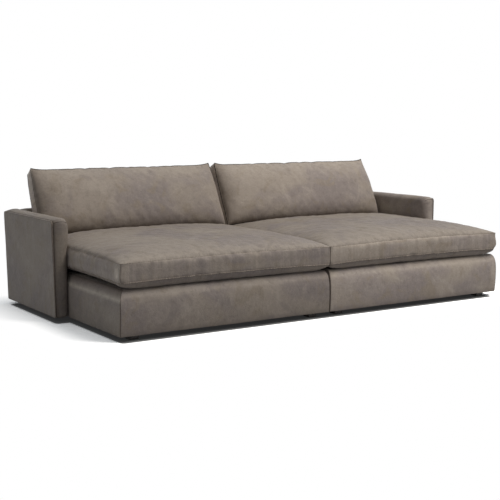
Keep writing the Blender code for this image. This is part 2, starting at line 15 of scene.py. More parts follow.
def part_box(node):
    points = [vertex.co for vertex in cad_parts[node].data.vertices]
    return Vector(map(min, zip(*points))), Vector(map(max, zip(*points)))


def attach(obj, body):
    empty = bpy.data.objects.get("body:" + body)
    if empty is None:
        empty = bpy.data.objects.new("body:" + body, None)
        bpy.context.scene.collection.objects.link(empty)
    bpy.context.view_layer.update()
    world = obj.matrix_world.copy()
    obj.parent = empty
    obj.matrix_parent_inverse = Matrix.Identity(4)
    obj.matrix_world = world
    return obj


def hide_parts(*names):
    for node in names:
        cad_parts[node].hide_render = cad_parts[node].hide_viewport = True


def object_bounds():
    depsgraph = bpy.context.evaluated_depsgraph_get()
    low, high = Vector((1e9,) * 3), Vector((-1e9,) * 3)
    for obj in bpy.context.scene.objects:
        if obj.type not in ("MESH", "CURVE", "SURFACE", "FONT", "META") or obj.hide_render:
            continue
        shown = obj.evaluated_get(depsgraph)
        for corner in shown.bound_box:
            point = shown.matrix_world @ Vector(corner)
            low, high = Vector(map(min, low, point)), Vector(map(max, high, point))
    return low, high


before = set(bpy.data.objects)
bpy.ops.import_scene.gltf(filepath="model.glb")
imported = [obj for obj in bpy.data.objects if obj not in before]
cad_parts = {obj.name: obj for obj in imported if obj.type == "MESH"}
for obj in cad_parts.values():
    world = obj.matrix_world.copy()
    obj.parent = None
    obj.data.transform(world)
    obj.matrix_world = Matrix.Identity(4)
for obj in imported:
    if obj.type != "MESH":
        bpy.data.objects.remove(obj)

cad_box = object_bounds()
sides = (("left", -1), ("right", 1))
rearward = (0.0, 1.0, 0.0)
down = (0.0, 0.0, -1.0)
above_all = 1.0

# Camera of the photograph
camera_place = (-4.1017, -6.2422, 1.3085)
camera_turn = 0.5702
camera_dip = 0.1274
camera_focus_px = 1049.06
picture_px = 500
sensor_width = 36.0

# Floor: what the camera sees of it away from the sofa, the painted shadow in its footprint (a dark colour
# and a faint glow), how the footprint is set in from the solids, and the light that the floor throws back
floor_reach = 60.0
floor_seen = 2.2
floor_painted_shadow = 0.14
floor_painted_shadow_glow = 0.019
floor_shadow_fade = (0.023, 0.039)
floor_shadow_left_inset = 0.018
floor_shadow_right_inset = 0.081
floor_shadow_rear_inset = 0.095
floor_white_reach = 0.32
floor_bounce = (0.405, 0.42, 0.445)

# Light
dome_colour = (0.94, 0.975, 1.0)
dome_strength = 0.36
lamp_place = (2.5, -3.2, 7.0)
lamp_target = (0.0, -0.2, 0.4)
lamp_size = 3.6
lamp_power = 455.0
lamp_colour = (1.0, 0.965, 0.925)

# Leather colours as seen in the photograph, red, green and blue of 255
taupe = (148, 137, 126)
mauve = (133, 123, 118)
olive = (136, 124, 110)
# The pale colour is rubbed patches and also the painted highlights; the dark one is dark mottle and also the
# painted shade
rubbed_and_highlight = (172, 161, 149)
dark_mottle_and_shade = (78, 66, 57)

# Leather patterns: stretch, scale, detail, roughness and distortion of each noise, and scale and detail of
# those that run along a seam
leather_noises = {
    "clouds": (None, 2.4, 4.0, 0.55, 0.6),
    "patches": (None, 6.5, 5.0, 0.60, 0.8),
    "mottle": (None, 24.0, 5.0, 0.66, 0.4),
    "speckle": (None, 75.0, 3.0, 0.6),
    "fine": (None, 120.0, 4.0, 0.6),
    "streaks": ((30.0, 30.0, 3.0), 1.0, 4.0, 0.6, 0.4),
}
leather_pulls = (26.0, 4.0)
leather_gathers = (75.0, 3.0)
leather_grain = 560.0
hide_shifts = (7.3, 3.1, 5.7)

# What the patterns do. Edges are the values where an effect begins and is full; a stain has its pattern,
# edges, most share and colour.
cloud_edges = (0.40, 0.64)
leather_stains = (
    ("patches", 0.48, 0.34, 0.70, olive),
    ("patches", 0.52, 0.72, 0.34, rubbed_and_highlight),
    ("mottle", 0.52, 0.74, 0.26, rubbed_and_highlight),
    ("mottle", 0.48, 0.28, 0.20, dark_mottle_and_shade),
)
leather_tones = {"fine": (0.92, 1.08), "streaks": (0.96, 1.04), "speckle": (0.84, 1.16)}
pull_edges = (0.36, 0.64)
pull_tones = (-0.06, 0.06)
wear_edges = (0.34, 0.60)
wear_shares = (0.45, 1.0)
# Painted shade in the folds of the gathers along the seams
gather_edges = (0.58, 0.40)
gather_shade = 0.12
leather_roughness = (0.46, 0.78)
grain_depth = 0.0003
leather_depths = {"fine": 0.0010, "streaks": 0.0006, "gathers": 0.0016, "mottle": 0.0030}
leather_sheen = {
    "Specular IOR Level": 0.10,
    "Sheen Weight": 0.10,
    "Sheen Roughness": 0.5,
    "Sheen Tint": (0.92, 0.90, 0.88, 1.0),
}

# Other finishes. Thread: dark, pale and where it is pulled in. Woven: dark, pale, pitch and roughness.
# Metal: bright, dull and roughness.
thread_finishes = {
    "seam_leather": ((70, 61, 54), (98, 88, 79), (52, 45, 40)),
    "piping_leather": ((50, 44, 40), (66, 59, 54), (38, 33, 30)),
    # The welt leather is paler than the hide: rubbed piping, and a painted highlight that keeps the seat's
    # seams light in the shade under the cushion
    "welt_leather": ((150, 139, 128), (176, 164, 152), (120, 109, 99)),
}
woven_finishes = {
    "dust_cloth": ((20, 20, 21), (44, 44, 46), 0.0016, 0.8),
    "zip_tape": ((58, 51, 46), (92, 83, 75), 0.0012, 0.7),
    "elastic_webbing": ((24, 23, 22), (62, 60, 57), 0.0030, 0.75),
}
metal_finishes = {
    "zip_teeth": ((150, 140, 122), (112, 102, 86), 0.30),
    "zinc_steel": ((196, 199, 203), (150, 154, 160), 0.28),
}
timber_colours = ((208, 178, 136), (176, 138, 94), (140, 104, 68))
stained_colours = ((28, 23, 21), (50, 40, 34))
felt_colours = ((92, 86, 80), (112, 105, 97), (150, 143, 134))

# Places that the frame gives, for the right chaise
base_low, base_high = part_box("right_base_cover")
arm_low, arm_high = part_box("right_arm_wrap")
arm_panel_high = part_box("right_arm_outer_panel")[1]
back_low, back_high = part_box("right_back_wrap")
back_panel_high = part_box("right_back_outer_panel")[1]
seat_low, seat_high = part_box("right_seat_cushion_cover")
pillow_low, pillow_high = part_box("right_back_cushion_cover")

# A mark given as a pair has its most strength, and the distance at which it has faded out.

# Upholstery over a frame
padding_depth = 0.0020
padding_size = 0.24
fold_depth = 0.0010
fold_size = 0.060
grid_spacing = 0.026
corner_cuts = 4
roll_cuts = 7
gather_reach = 0.03

# Base
base_corner_radius = 0.011
base_roll_in = 0.045
base_roll_down = 0.100
base_inner_roll = 0.34
base_outer_rolls = {-1: 1.0, 1: 0.34}
# Painted highlight: a lighter band round the rolled top edge, strongest on the outer side, at these depths
# below the top; and painted shade down the outer side's top, under the cushion's overhang
base_roll_highlight = 0.60
base_side_highlight = 2.20
base_side_shade = (0.85, 0.068)
base_highlight_front = 0.034
base_highlight_side = 0.054
base_highlight_reach = 0.032
base_border = 0.110
base_border_half = 0.001
base_border_clear = 0.006
base_pad_recess = 0.016
base_hem_radius = 0.005
base_hem_turn = 0.3
base_side_bulge = 0.008
base_face_bulge = 0.006
base_bulge_power = 12
base_bulge_run = 0.014
# Painted shade at the hem, at the upright corners and towards the bottom
base_hem_fold_shade = (0.4, 0.014)
base_corner_shade = (0.4, 0.010)
base_hem_shade = (0.30, 0.200)
base_hides = (0.0, 0.3, 0.6, 0.9, 1.2, 1.5)
# Painted light and shade on each panel of the cover
base_painted_light = {-1: (1.0, 0.88, 0.92, 1.0, 1.0, 1.0), 1: (1.0, 0.88, 1.24, 1.0, 1.0, 1.0)}

# Arms and backs. The panel's folds are shares of panel_hem: inwards from its edge, and below its face.
arm_roll_radius = 0.036
arm_leans = {-1: 0.012, 1: 0.001}
arm_swell = 0.013
arm_swell_low = 0.468
arm_swell_run = 0.060
# Painted light and shade on each panel of the arm's wrap
arm_painted_light = {-1: (0.70, 1.0, 1.0, 0.70, 1.0, 1.0), 1: (1.0, 1.0, 1.0, 0.90, 0.98, 1.0)}
arm_lifts = {-1: 0.0, 1: 0.010}
arm_crown = 0.014
back_roll_radius = 0.034
back_crown = 0.010
show_corner_radius = 0.052
rim_corner_radius = 0.022
hem_corner_radius = 0.004
crown_cuts = 6
# Painted shade next to the rim seam and along the wrap's hem
rim_shade = (0.6, 0.024)
wrap_hem_shade = (0.45, 0.012)
wrap_rub = (0.25, 0.03)
panel_tones = (0.86,) * 6
panel_gap = 0.0003
panel_hem = 0.002
panel_side_share = 0.4
panel_fold_insets = (0.0, 0.0, 0.12, 0.6, 1.6)
panel_fold_depths = (0.6, 0.12, 0.0)
panel_padding_depth = 0.0011
# Painted shade on the panel's sides and along its edges
panel_side_shade = 0.5
panel_edge_shade = (0.3, 0.012)
panel_rub = 0.3

# Cushions
seam_offsets = (0.0, 0.006, 0.016, 0.032, 0.052)
cushion_spacing = 0.021
cushion_fold_depth = 0.0008
side_clearance = 0.0015
front_overhang = 0.004
cover_gap = 0.001
pucker_depth = 0.0007
pucker_size = 0.045
seam_sharpness = 0.7
# Painted shade along the seams and at the corners; painted highlight just off the seams, and rubbed wear
# with painted highlight on the sides near the upright corners
seam_shade = (0.11, 0.010)
seam_highlight = (0.36, 0.030)
seam_highlight_at = 0.026
seam_gather = 0.020
corner_shade = (0.60, 0.012)
corner_rub_and_highlight_reach = 0.150

# Seat cushions
seat_side_gap = 0.003
seat_seam_low = 0.346
seat_seam_high = 0.460
seat_seam_lift = 0.009
seat_side_draw = 0.010
seat_boxing_bulge = 0.024
seat_bulge_power = 5
seat_corner_heights = (0.0, 0.17, 0.32, 0.5, 0.68, 0.83, 1.0)
seat_corner_radii = (0.040, 0.033, 0.028, 0.023, 0.018, 0.013, 0.008)
seat_corner_bulges = (0.0, 0.010, 0.013, 0.008, 0.002, -0.002, 0.0)
seat_inner_corner = 0.5
seat_low_spread = 0.005
seat_front_spread = 0.009
seat_front_spread_power = 6
seat_crown = 0.072
seat_belly = 0.064
seat_press = 0.028
seat_press_start = 0.280
seat_press_run = 0.200
seat_crown_power = 4
seat_belly_power = 14
seat_side_hollow = (0.48, 0.450)
seat_side_hollow_start = 0.140
seat_arm_run = 0.02
seat_padding_depth = 0.004
# Painted highlights on the side near the front corner, along the front lip and over the front of the top;
# painted shade down the front boxing and on the belly
seat_corner_highlight = (2.2, 0.080)
seat_corner_highlight_at = 0.036
seat_lip_highlight = (0.35, 0.110)
seat_box_shades = {-1: 0.26, 1: 0.42}
seat_box_shade_power = 1.5
seat_belly_shade = 0.25
seat_front_highlight = (0.65, 0.330)
# Painted light and shade on each panel
seat_painted_light = {-1: (1.0, 1.14, 0.97, 1.0, 0.90, 0.78), 1: (1.0, 1.14, 1.22, 1.0, 0.90, 0.765)}
seat_hides = (0.2, 0.2, 0.5, 0.8, 1.1, 0.0)
seat_layers = (0.0, 0.07, 0.17, 0.32, 0.5, 0.68, 0.83, 0.93, 1.0)

# Back cushions
pillow_inner = 0.0125
pillow_outer_gaps = {-1: 0.052, 1: 0.042}
pillow_front = 0.480
pillow_top_front = 0.706
pillow_edge = 0.100
pillow_crown = 0.095
pillow_rear_crown = 0.014
pillow_side_draw = 0.004
pillow_face_spread = 0.012
pillow_top_draw = 0.014
pillow_bulges = (0.010, 0.004, 0.008)
pillow_top_taper = 0.018
pillow_pocket = 0.010
pillow_droop = 0.014
pillow_clear_top = 0.010
pillow_rest_top = 0.002
pillow_rest_height = 0.12
pillow_taper_power = 4
pillow_side_power = 6
pillow_foot_power = 4
pillow_draw_power = 18
pillow_padding_depth = 0.0025
# Painted shade at the foot and near the cushion's -X end; painted highlight along the head
pillow_foot_shade = (0.40, 0.200)
pillow_end_shade = (0.54, 0.170)
pillow_head_highlight = (0.66, 0.260)
# Painted light and shade on each panel
pillow_painted_light = {-1: (1.0, 1.70, 1.0, 1.0, 1.0, 0.95), 1: (1.5, 1.0, 1.0, 1.0, 1.0, 1.04)}
pillow_hides = (0.2, 0.3, 0.5, 0.6, 1.1, 0.0)
pillow_layers = (0.0, 0.08, 0.2, 0.36, 0.5, 0.64, 0.8, 0.92, 1.0)

# How the cushions puff up as cloth
puff_frames = 20
puff_settings = {
    "quality": 6,
    "mass": 0.02,
    "tension_stiffness": 12.0,
    "compression_stiffness": 12.0,
    "shear_stiffness": 4.0,
    "bending_stiffness": 1.5,
    "use_pressure": True,
    "uniform_pressure_force": 1.2,
    "shrink_min": -0.012,
    "vertex_group_mass": "hold",
}
puff_hold = 0.06
puff_top_hold = 0.30
puff_seam_hold = 0.35
puff_cap = 0.016

# Seams. off_seam is a direction that no seam runs along.
welt_radius = 0.0016
base_welt_radius = 0.8 * welt_radius
low_welt_radius = 0.0030
pillow_rear_welt = 0.0045
pillow_outer_welt = 0.0008
pillow_front_welt = 0.0030
welt_sides = 6
welt_out = 0.0004
off_seam = (0.31, 0.52, 0.79)
off_seam_turn = 0.3

# Zips. The tape's corners are at shares of its height, each a distance out of the boxing. The slider and
# the pull lie a distance before the end, and out of the boxing.
zip_margin = 0.24
zip_step = 0.020
zip_tape_height = 0.026
zip_tape_front = ((-0.5, 0.0004), (-0.04, 0.0014), (0.04, 0.0014), (0.5, 0.0004))
zip_tape_rear = ((0.5, -0.0014), (-0.5, -0.0014))
zip_tooth_pitch = 0.0045
zip_tooth = (0.0030, 0.0052, 0.0016)
zip_tooth_out = 0.0020
zip_slider = (0.012, 0.010, 0.005)
zip_slider_spot = (0.012, 0.0034)
zip_pull = (0.026, 0.007, 0.0016)
zip_pull_spot = (0.030, 0.0050)
path_step = 0.01
bar_bevel = 0.18

# Deck pad and dust cover
deck_spacing = 0.020
deck_quilt = 0.230
deck_quilt_depth = 0.0028
deck_edge_fold = 0.003
dust_spacing = 0.040
dust_ripple = 0.0010
dust_ripple_size = 0.12
dust_ripple_rise = 20
dust_lower = 0.0002

seeds = {"base": 11, "arm": 21, "back": 31, "seat": 41, "pillow": 51, "dust": 61}


# Shaders


class Shader:
    """The nodes of a new material or world. Sockets are joined by passing one as another node's input."""

    def __init__(self, name, world=False):
        owners = bpy.data.worlds if world else bpy.data.materials
        self.owner = owners.new(name)
        self.owner.use_nodes = True
        self.tree = self.owner.node_tree

    def add(self, kind, inputs=(), **settings):
        node = self.tree.nodes.new(kind)
        for name, value in settings.items():
            setattr(node, name, value)
        for name, value in dict(inputs).items():
            self.set(node, name, value)
        return node

    def set(self, node, name, value):
        if isinstance(value, bpy.types.NodeSocket):
            self.tree.links.new(value, node.inputs[name])
        else:
            node.inputs[name].default_value = value

    def place(self):
        return self.add("ShaderNodeTexCoord").outputs["Object"]

    def noise(self, place, scale, detail=4.0, roughness=0.55, distortion=0.0):
        inputs = {"Vector": place, "Scale": scale, "Detail": detail}
        inputs |= {"Roughness": roughness, "Distortion": distortion}
        return self.add("ShaderNodeTexNoise", inputs).outputs[0]

    def line_noise(self, along, scale, detail=3.0):
        inputs = {"W": along, "Scale": scale, "Detail": detail}
        return self.add("ShaderNodeTexNoise", inputs, noise_dimensions="1D").outputs[0]

    def stretched(self, place, scale):
        return self.add("ShaderNodeMapping", {"Vector": place, "Scale": scale}).outputs[0]

    def ramp(self, value, low, high):
        """0 where value is below low, 1 where it is above high."""
        inputs = {"Value": value, "From Min": low, "From Max": high}
        return self.add("ShaderNodeMapRange", inputs, interpolation_type="SMOOTHSTEP").outputs[0]

    def between(self, value, low, high):
        """Takes a value of 0 to 1 to the range low to high."""
        return self.add("ShaderNodeMapRange", {"Value": value, "To Min": low, "To Max": high}).outputs[0]

    def maths(self, operation, first, second):
        return self.add("ShaderNodeMath", {0: first, 1: second}, operation=operation).outputs[0]

    def times(self, first, second):
        return self.maths("MULTIPLY", first, second)

    def mix(self, share, first, second, blend="MIX", beyond=False):
        """A share of over 1 goes past the second colour where beyond is set."""
        node = self.add("ShaderNodeMix", data_type="RGBA", blend_type=blend, clamp_factor=not beyond)
        for index, value in ((0, share), (6, first), (7, second)):
            self.set(node, index, value)
        return node.outputs[2]

    def grey(self, value):
        return self.add("ShaderNodeCombineColor", {0: value, 1: value, 2: value}).outputs[0]

    def attribute(self, name):
        return self.add("ShaderNodeAttribute", attribute_name=name).outputs["Fac"]

    def bump(self, height, distance, below=None):
        inputs = {"Height": height, "Distance": distance, "Strength": 1.0}
        if below:
            inputs["Normal"] = below
        return self.add("ShaderNodeBump", inputs).outputs[0]

    def two_tone(self, pattern, low, high, first, second):
        """The first colour where the pattern is below low, the second where it is above high."""
        return self.mix(self.ramp(pattern, low, high), linear(first), linear(second))

    def stained(self, colour, pattern, clear, full, most, stain):
        """Adds up to a most share of a stain where the pattern goes from clear to full."""
        return self.mix(self.between(self.ramp(pattern, clear, full), 0.0, most), colour, linear(stain))

    def finished(self, colour, roughness, normal, others=()):
        """Joins up the surface and returns the material."""
        inputs = {"Base Color": colour, "Roughness": roughness, "Normal": normal}
        for name, value in (inputs | dict(others)).items():
            self.set(self.tree.nodes["Principled BSDF"], name, value)
        return self.owner


def added(name, data):
    """A new object in the scene."""
    piece = bpy.data.objects.new(name, data)
    bpy.context.scene.collection.objects.link(piece)
    return piece


def linear(colour):
    """A colour of the photograph, 0 to 255, as the light values that a shader takes."""
    share = np.array(colour) / 255
    return (*np.where(share <= 0.04045, share / 12.92, ((share + 0.055) / 1.055) ** 2.4), 1.0)


# Camera, floor and light


def add_camera():
    data = bpy.data.cameras.new("photo_camera")
    data.sensor_width = sensor_width
    data.lens = sensor_width * camera_focus_px / picture_px
    camera = added("photo_camera", data)
    camera.location = camera_place
    camera.rotation_euler = (math.radians(90) - camera_dip, 0.0, -camera_turn)
    bpy.context.scene.camera = camera


def camera_ray_mix(s, seen, bounced, output):
    """Shows one shader to the camera, to mirrors and through glass, and lets another light the object."""
    rays = s.add("ShaderNodeLightPath").outputs
    shown = rays["Is Camera Ray"]
    for ray in ("Is Glossy Ray", "Is Transmission Ray"):
        shown = s.maths("MAXIMUM", shown, rays[ray])
    mix = s.add("ShaderNodeMixShader", {0: shown, 1: bounced, 2: seen})
    s.add(output, {0: mix.outputs[0]})


def outside(s, left, right, front, rear):
    """How far a place on the floor is outside a rectangle."""
    middle = ((left + right) / 2, (front + rear) / 2, 0.0)
    half = ((right - left) / 2, (rear - front) / 2, 0.0)
    nothing = (0.0, 0.0, 0.0)
    steps = (("SUBTRACT", middle), ("ABSOLUTE", nothing), ("SUBTRACT", half), ("MAXIMUM", nothing))
    distance = s.place()
    for operation, second in steps:
        step = s.add("ShaderNodeVectorMath", {0: distance, 1: second}, operation=operation)
        distance = step.outputs[0]
    return s.add("ShaderNodeVectorMath", {0: distance}, operation="LENGTH").outputs["Value"]


def add_floor():
    """A floor that the camera sees as white, with a painted shadow in the sofa's footprint: a dark colour
    and a faint glow.
    """
    s = Shader("studio_floor")
    s.tree.nodes.clear()
    rear = cad_box[1].y - floor_shadow_rear_inset
    parts = []
    for out, front in ((base_high.x, base_low.y), (cad_box[1].x, arm_low.y)):
        parts.append(outside(s, floor_shadow_left_inset - out, out - floor_shadow_right_inset, front, rear))
    # The painted shadow: a dark colour and a faint glow in the footprint, faded out at its edge
    low, high = floor_shadow_fade
    edge = {"Value": s.maths("MINIMUM", *parts), "From Min": low, "From Max": high}
    painted_shadow = s.add("ShaderNodeMapRange", edge | {"To Min": floor_painted_shadow, "To Max": floor_seen}).outputs[0]
    painted_shadow_glow = s.add("ShaderNodeMapRange", edge | {"To Min": floor_painted_shadow_glow, "To Max": 0.0}).outputs[0]
    shown = s.add("ShaderNodeBsdfDiffuse", {"Color": painted_shadow}).outputs[0]
    dim = s.add("ShaderNodeEmission", {"Strength": painted_shadow_glow}).outputs[0]
    ground = s.add("ShaderNodeAddShader", {0: shown, 1: dim}).outputs[0]
    away = outside(s, cad_box[0].x, cad_box[1].x, cad_box[0].y, cad_box[1].y)
    share = s.add("ShaderNodeMapRange", {"Value": away, "From Max": floor_white_reach}).outputs[0]
    white = s.add("ShaderNodeEmission").outputs[0]
    seen = s.add("ShaderNodeMixShader", {0: share, 1: ground, 2: white}).outputs[0]
    bouncing = s.add("ShaderNodeBsdfDiffuse", {"Color": (*floor_bounce, 1.0)}).outputs[0]
    camera_ray_mix(s, seen, bouncing, "ShaderNodeOutputMaterial")
    mesh = bpy.data.meshes.new("studio_floor")
    corners = ((-1, -1), (1, -1), (1, 1), (-1, 1))
    mesh.from_pydata([(floor_reach * x, floor_reach * y, 0.0) for x, y in corners], [], [(0, 1, 2, 3)])
    mesh.materials.append(s.owner)
    floor = added("studio_floor", mesh)


def add_light():
    """A pale dome all round, and one large lamp high on the right."""
    s = Shader("studio", world=True)
    bpy.context.scene.world = s.owner
    s.tree.nodes.clear()
    white = s.add("ShaderNodeBackground", {"Color": (1.0, 1.0, 1.0, 1.0)}).outputs[0]
    dome = s.add("ShaderNodeBackground", {"Color": (*dome_colour, 1.0), "Strength": dome_strength})
    camera_ray_mix(s, white, dome.outputs[0], "ShaderNodeOutputWorld")

    data = bpy.data.lights.new("key", "AREA")
    data.size = lamp_size
    data.energy = lamp_power
    data.color = lamp_colour
    lamp = added("key", data)
    lamp.location = lamp_place
    toward = Vector(lamp_place) - Vector(lamp_target)
    lamp.rotation_euler = toward.to_track_quat("Z", "Y").to_euler()


# Materials


def make_leather():
    """Weathered taupe leather: cloudy tones that change from panel to panel, painted light and shade on
    each panel, painted shade in creases and corners, rubbed edges with painted highlights, gathers along
    the seams with painted shade in their folds, pebbled grain and fine folds."""
    s = Shader("taupe_leather")
    hide = s.attribute("hide")
    shift = dict(enumerate(s.times(hide, factor) for factor in hide_shifts))
    shift = s.add("ShaderNodeCombineXYZ", shift).outputs[0]
    place = s.add("ShaderNodeVectorMath", {0: s.place(), 1: shift}).outputs[0]
    patterns = {}
    for name, (stretch, *settings) in leather_noises.items():
        patterns[name] = s.noise(s.stretched(place, stretch) if stretch else place, *settings)
    along = s.attribute("along")
    pulls = s.line_noise(along, *leather_pulls)
    gather = s.line_noise(along, *leather_gathers)
    seam = s.attribute("seam")
    patterns["gathers"] = s.times(gather, seam)

    colour = s.two_tone(patterns["clouds"], *cloud_edges, taupe, mauve)
    for name, *stain in leather_stains:
        colour = s.stained(colour, patterns[name], *stain)
    tone = 1.0
    for name, tones in leather_tones.items():
        tone = s.times(tone, s.between(patterns[name], *tones))
    pulled = s.times(s.attribute("boxing"), s.between(s.ramp(pulls, *pull_edges), *pull_tones))
    tone = s.times(tone, s.maths("ADD", pulled, 1.0))
    # The tone attribute is painted light and shade on each panel
    tone = s.times(tone, s.attribute("tone"))
    # Rubbed wear, and painted highlights on rolls, seam edges and corners, going past the pale colour where
    # above 1
    patchy = s.between(s.ramp(patterns["mottle"], *wear_edges), *wear_shares)
    wear = s.times(s.attribute("wear"), patchy)
    colour = s.mix(wear, colour, linear(rubbed_and_highlight), beyond=True)
    colour = s.mix(1.0, colour, s.grey(tone), "MULTIPLY")
    # Painted shade: darker in creases, corners, under overhangs, towards the bottom and in the folds of the
    # gathers
    gathered = s.times(seam, s.ramp(gather, *gather_edges))
    crease = s.maths("MAXIMUM", s.attribute("crease"), s.times(gathered, gather_shade))
    colour = s.mix(crease, colour, linear(dark_mottle_and_shade))

    grain = s.add("ShaderNodeTexVoronoi", {"Vector": place, "Scale": leather_grain}, feature="F1")
    normal = s.bump(grain.outputs["Distance"], grain_depth)
    for name, depth in leather_depths.items():
        normal = s.bump(patterns[name], depth, normal)
    roughness = s.between(s.times(patterns["mottle"], patterns["fine"]), *leather_roughness)
    return s.finished(colour, roughness, normal, leather_sheen)


def make_thread(name):
    """The rolled edge of a seam: leather pulled in at every stitch."""
    s = Shader(name)
    dark, pale, pulled = thread_finishes[name]
    place = s.place()
    mottle = s.noise(place, scale=40.0)
    pulls = s.noise(place, scale=240.0, detail=1.0)
    colour = s.stained(s.two_tone(mottle, 0.3, 0.7, dark, pale), pulls, 0.60, 0.45, 1.0, pulled)
    dull = {"Specular IOR Level": 0.05}
    return s.finished(colour, s.between(mottle, 0.55, 0.75), s.bump(pulls, 0.0012), dull)


def make_timber():
    """Pale kiln-dried timber, its grain running along X."""
    s = Shader("frame_timber")
    pale, dark, pore = timber_colours
    place = s.place()
    rings = s.noise(s.stretched(place, (6.0, 42.0, 42.0)), 1.0, 5.0, 0.6, 0.8)
    pores = s.noise(s.stretched(place, (30.0, 260.0, 260.0)), 1.0, 3.0)
    colour = s.stained(s.two_tone(rings, 0.35, 0.65, pale, dark), pores, 0.55, 0.75, 0.5, pore)
    return s.finished(colour, s.between(pores, 0.55, 0.75), s.bump(rings, 0.0015, s.bump(pores, 0.0008)))


def make_stained_wood():
    """Espresso stain over wood, worn a little paler along its grain."""
    s = Shader("stained_wood")
    grain = s.noise(s.stretched(s.place(), (40.0, 40.0, 260.0)), 1.0, 5.0, 0.6, 0.3)
    colour = s.two_tone(grain, 0.40, 0.70, *stained_colours)
    return s.finished(colour, s.between(grain, 0.38, 0.58), s.bump(grain, 0.0008))


def make_woven(name):
    """A plain weave of threads a pitch apart."""
    s = Shader(name)
    dark, pale, pitch, roughness = woven_finishes[name]
    place = s.place()
    parts = s.add("ShaderNodeSeparateXYZ", {0: place}).outputs
    threads = []
    for axis in ("X", "Y"):
        turn = s.times(parts[axis], 2 * math.pi / pitch)
        threads.append(s.add("ShaderNodeMath", {0: turn}, operation="SINE").outputs[0])
    weave = s.between(s.times(*threads), 0.5, 1.0)
    fuzz = s.noise(place, scale=180.0)
    colour = s.two_tone(s.times(weave, fuzz), 0.15, 0.55, dark, pale)
    return s.finished(colour, s.between(fuzz, roughness, 1.0), s.bump(weave, 0.0006, s.bump(fuzz, 0.0008)))


def make_felt():
    """Grey felt of clumped fibres."""
    s = Shader("deck_felt")
    dark, pale, fibre = felt_colours
    place = s.place()
    clumps = s.noise(place, scale=26.0, detail=5.0, roughness=0.65)
    fibres = s.noise(place, scale=420.0, detail=3.0, roughness=0.7, distortion=1.2)
    colour = s.two_tone(clumps, 0.35, 0.65, dark, pale)
    colour = s.mix(s.between(fibres, 0.0, 0.35), colour, linear(fibre))
    normal = s.bump(fibres, 0.0010, s.bump(clumps, 0.0015))
    return s.finished(colour, s.between(fibres, 0.85, 1.0), normal, {"Specular IOR Level": 0.2})


def make_metal(name):
    """Plated metal with a spangle, a few scuffs and uneven shine."""
    s = Shader(name)
    bright, dull, roughness = metal_finishes[name]
    place = s.place()
    spangle = s.add("ShaderNodeTexVoronoi", {"Vector": place, "Scale": 130.0}).outputs["Distance"]
    scuffs = s.noise(s.stretched(place, (30.0, 240.0, 240.0)), 1.0, 5.0)
    colour = s.two_tone(spangle, 0.2, 0.8, bright, dull)
    shine = s.between(scuffs, roughness, roughness + 0.25)
    return s.finished(colour, shine, s.bump(scuffs, 0.0003), {"Metallic": 1.0})


# Meshes


def spaced(length, spacing, offsets=(0.0,)):
    """Places from 0 to length: at the given offsets from both ends, and about spacing apart between."""
    offsets = np.array(offsets)
    steps = max(2, round((length - 2 * offsets[-1]) / spacing))
    middle = np.linspace(offsets[-1], length - offsets[-1], steps + 1)[1:-1]
    return np.concatenate([offsets, middle, length - offsets[::-1]])


def skin(name, points, faces, material, attributes=()):
    """A smooth piece with its faces turned outwards. attributes holds names, domains and values."""
    mesh = bpy.data.meshes.new(name)
    mesh.from_pydata(points.reshape(-1, 3).tolist(), [], faces)
    for attribute, domain, values in attributes:
        layer = mesh.attributes.new(attribute, "FLOAT", domain)
        layer.data.foreach_set("value", values.astype(np.float32))
    work = bmesh.new()
    work.from_mesh(mesh)
    bmesh.ops.recalc_face_normals(work, faces=work.faces)
    work.to_mesh(mesh)
    work.free()
    mesh.shade_smooth()
    mesh.materials.append(material)
    return added(name, mesh)


def block(name, u, v, layers, place, marks, hides, material, tones=(1.0,) * 6):
    """A closed skin with the grid lines of a block: u by v at both ends of the layers, and its four
    sides between them. place(u, v, layer) gives the points, and marks(u, v, layer) the shader's point
    attributes. hides numbers the panels at the low and high end of u, v and the layers, and tones makes them
    lighter or darker: painted light and shade on each panel. Returns the piece and the index of each grid
    point's vertex."""
    shape = (len(u), len(v), layers)
    i, j, k = np.indices(shape)
    on = (i == 0) | (i == len(u) - 1) | (j == 0) | (j == len(v) - 1) | (k == 0) | (k == layers - 1)
    index = np.full(shape, -1)
    index[on] = np.arange(on.sum())
    quads = []
    panel_of_quad = []
    for axis in range(3):
        for end in (0, -1):
            sheet = np.take(index, end, axis)
            corners = (sheet[:-1, :-1], sheet[1:, :-1], sheet[1:, 1:], sheet[:-1, 1:])
            quads.append(np.stack(corners, -1).reshape(-1, 4))
            panel_of_quad.append(np.full(len(quads[-1]), 2 * axis + (end != 0)))
    grid = (u[i[on]], v[j[on]], k[on])
    points = np.stack(place(*grid), -1)
    panels = np.concatenate(panel_of_quad)
    found = [("hide", "FACE", np.take(hides, panels)), ("tone", "FACE", np.take(tones, panels))]
    for mark, values in marks(*grid).items():
        found.append((mark, "POINT", np.broadcast_to(values, len(points))))
    return skin(name, points, np.concatenate(quads).tolist(), material, found), index


def unmarked(u, v, layer):
    """The marks of a skin that isn't leather."""
    return {"crease": np.zeros(len(u))}


def points_of(mesh):
    points = np.empty(len(mesh.vertices) * 3)
    mesh.vertices.foreach_get("co", points)
    return points.reshape(-1, 3)


def normals_of(mesh):
    normals = np.empty(len(mesh.vertices) * 3, np.float32)
    mesh.vertex_normals.foreach_get("vector", normals)
    return normals.reshape(-1, 3).astype(float)


def set_points(mesh, points):
    mesh.vertices.foreach_set("co", points.ravel())
    mesh.update()


def uneven(points, size, seed):
    """Smooth noise of -1 to 1 with lumps of that size."""
    shift = Vector((17.3 * seed, 5.1 * seed, 9.7 * seed))
    return np.array([noise.noise(Vector(point) / size + shift) for point in points])


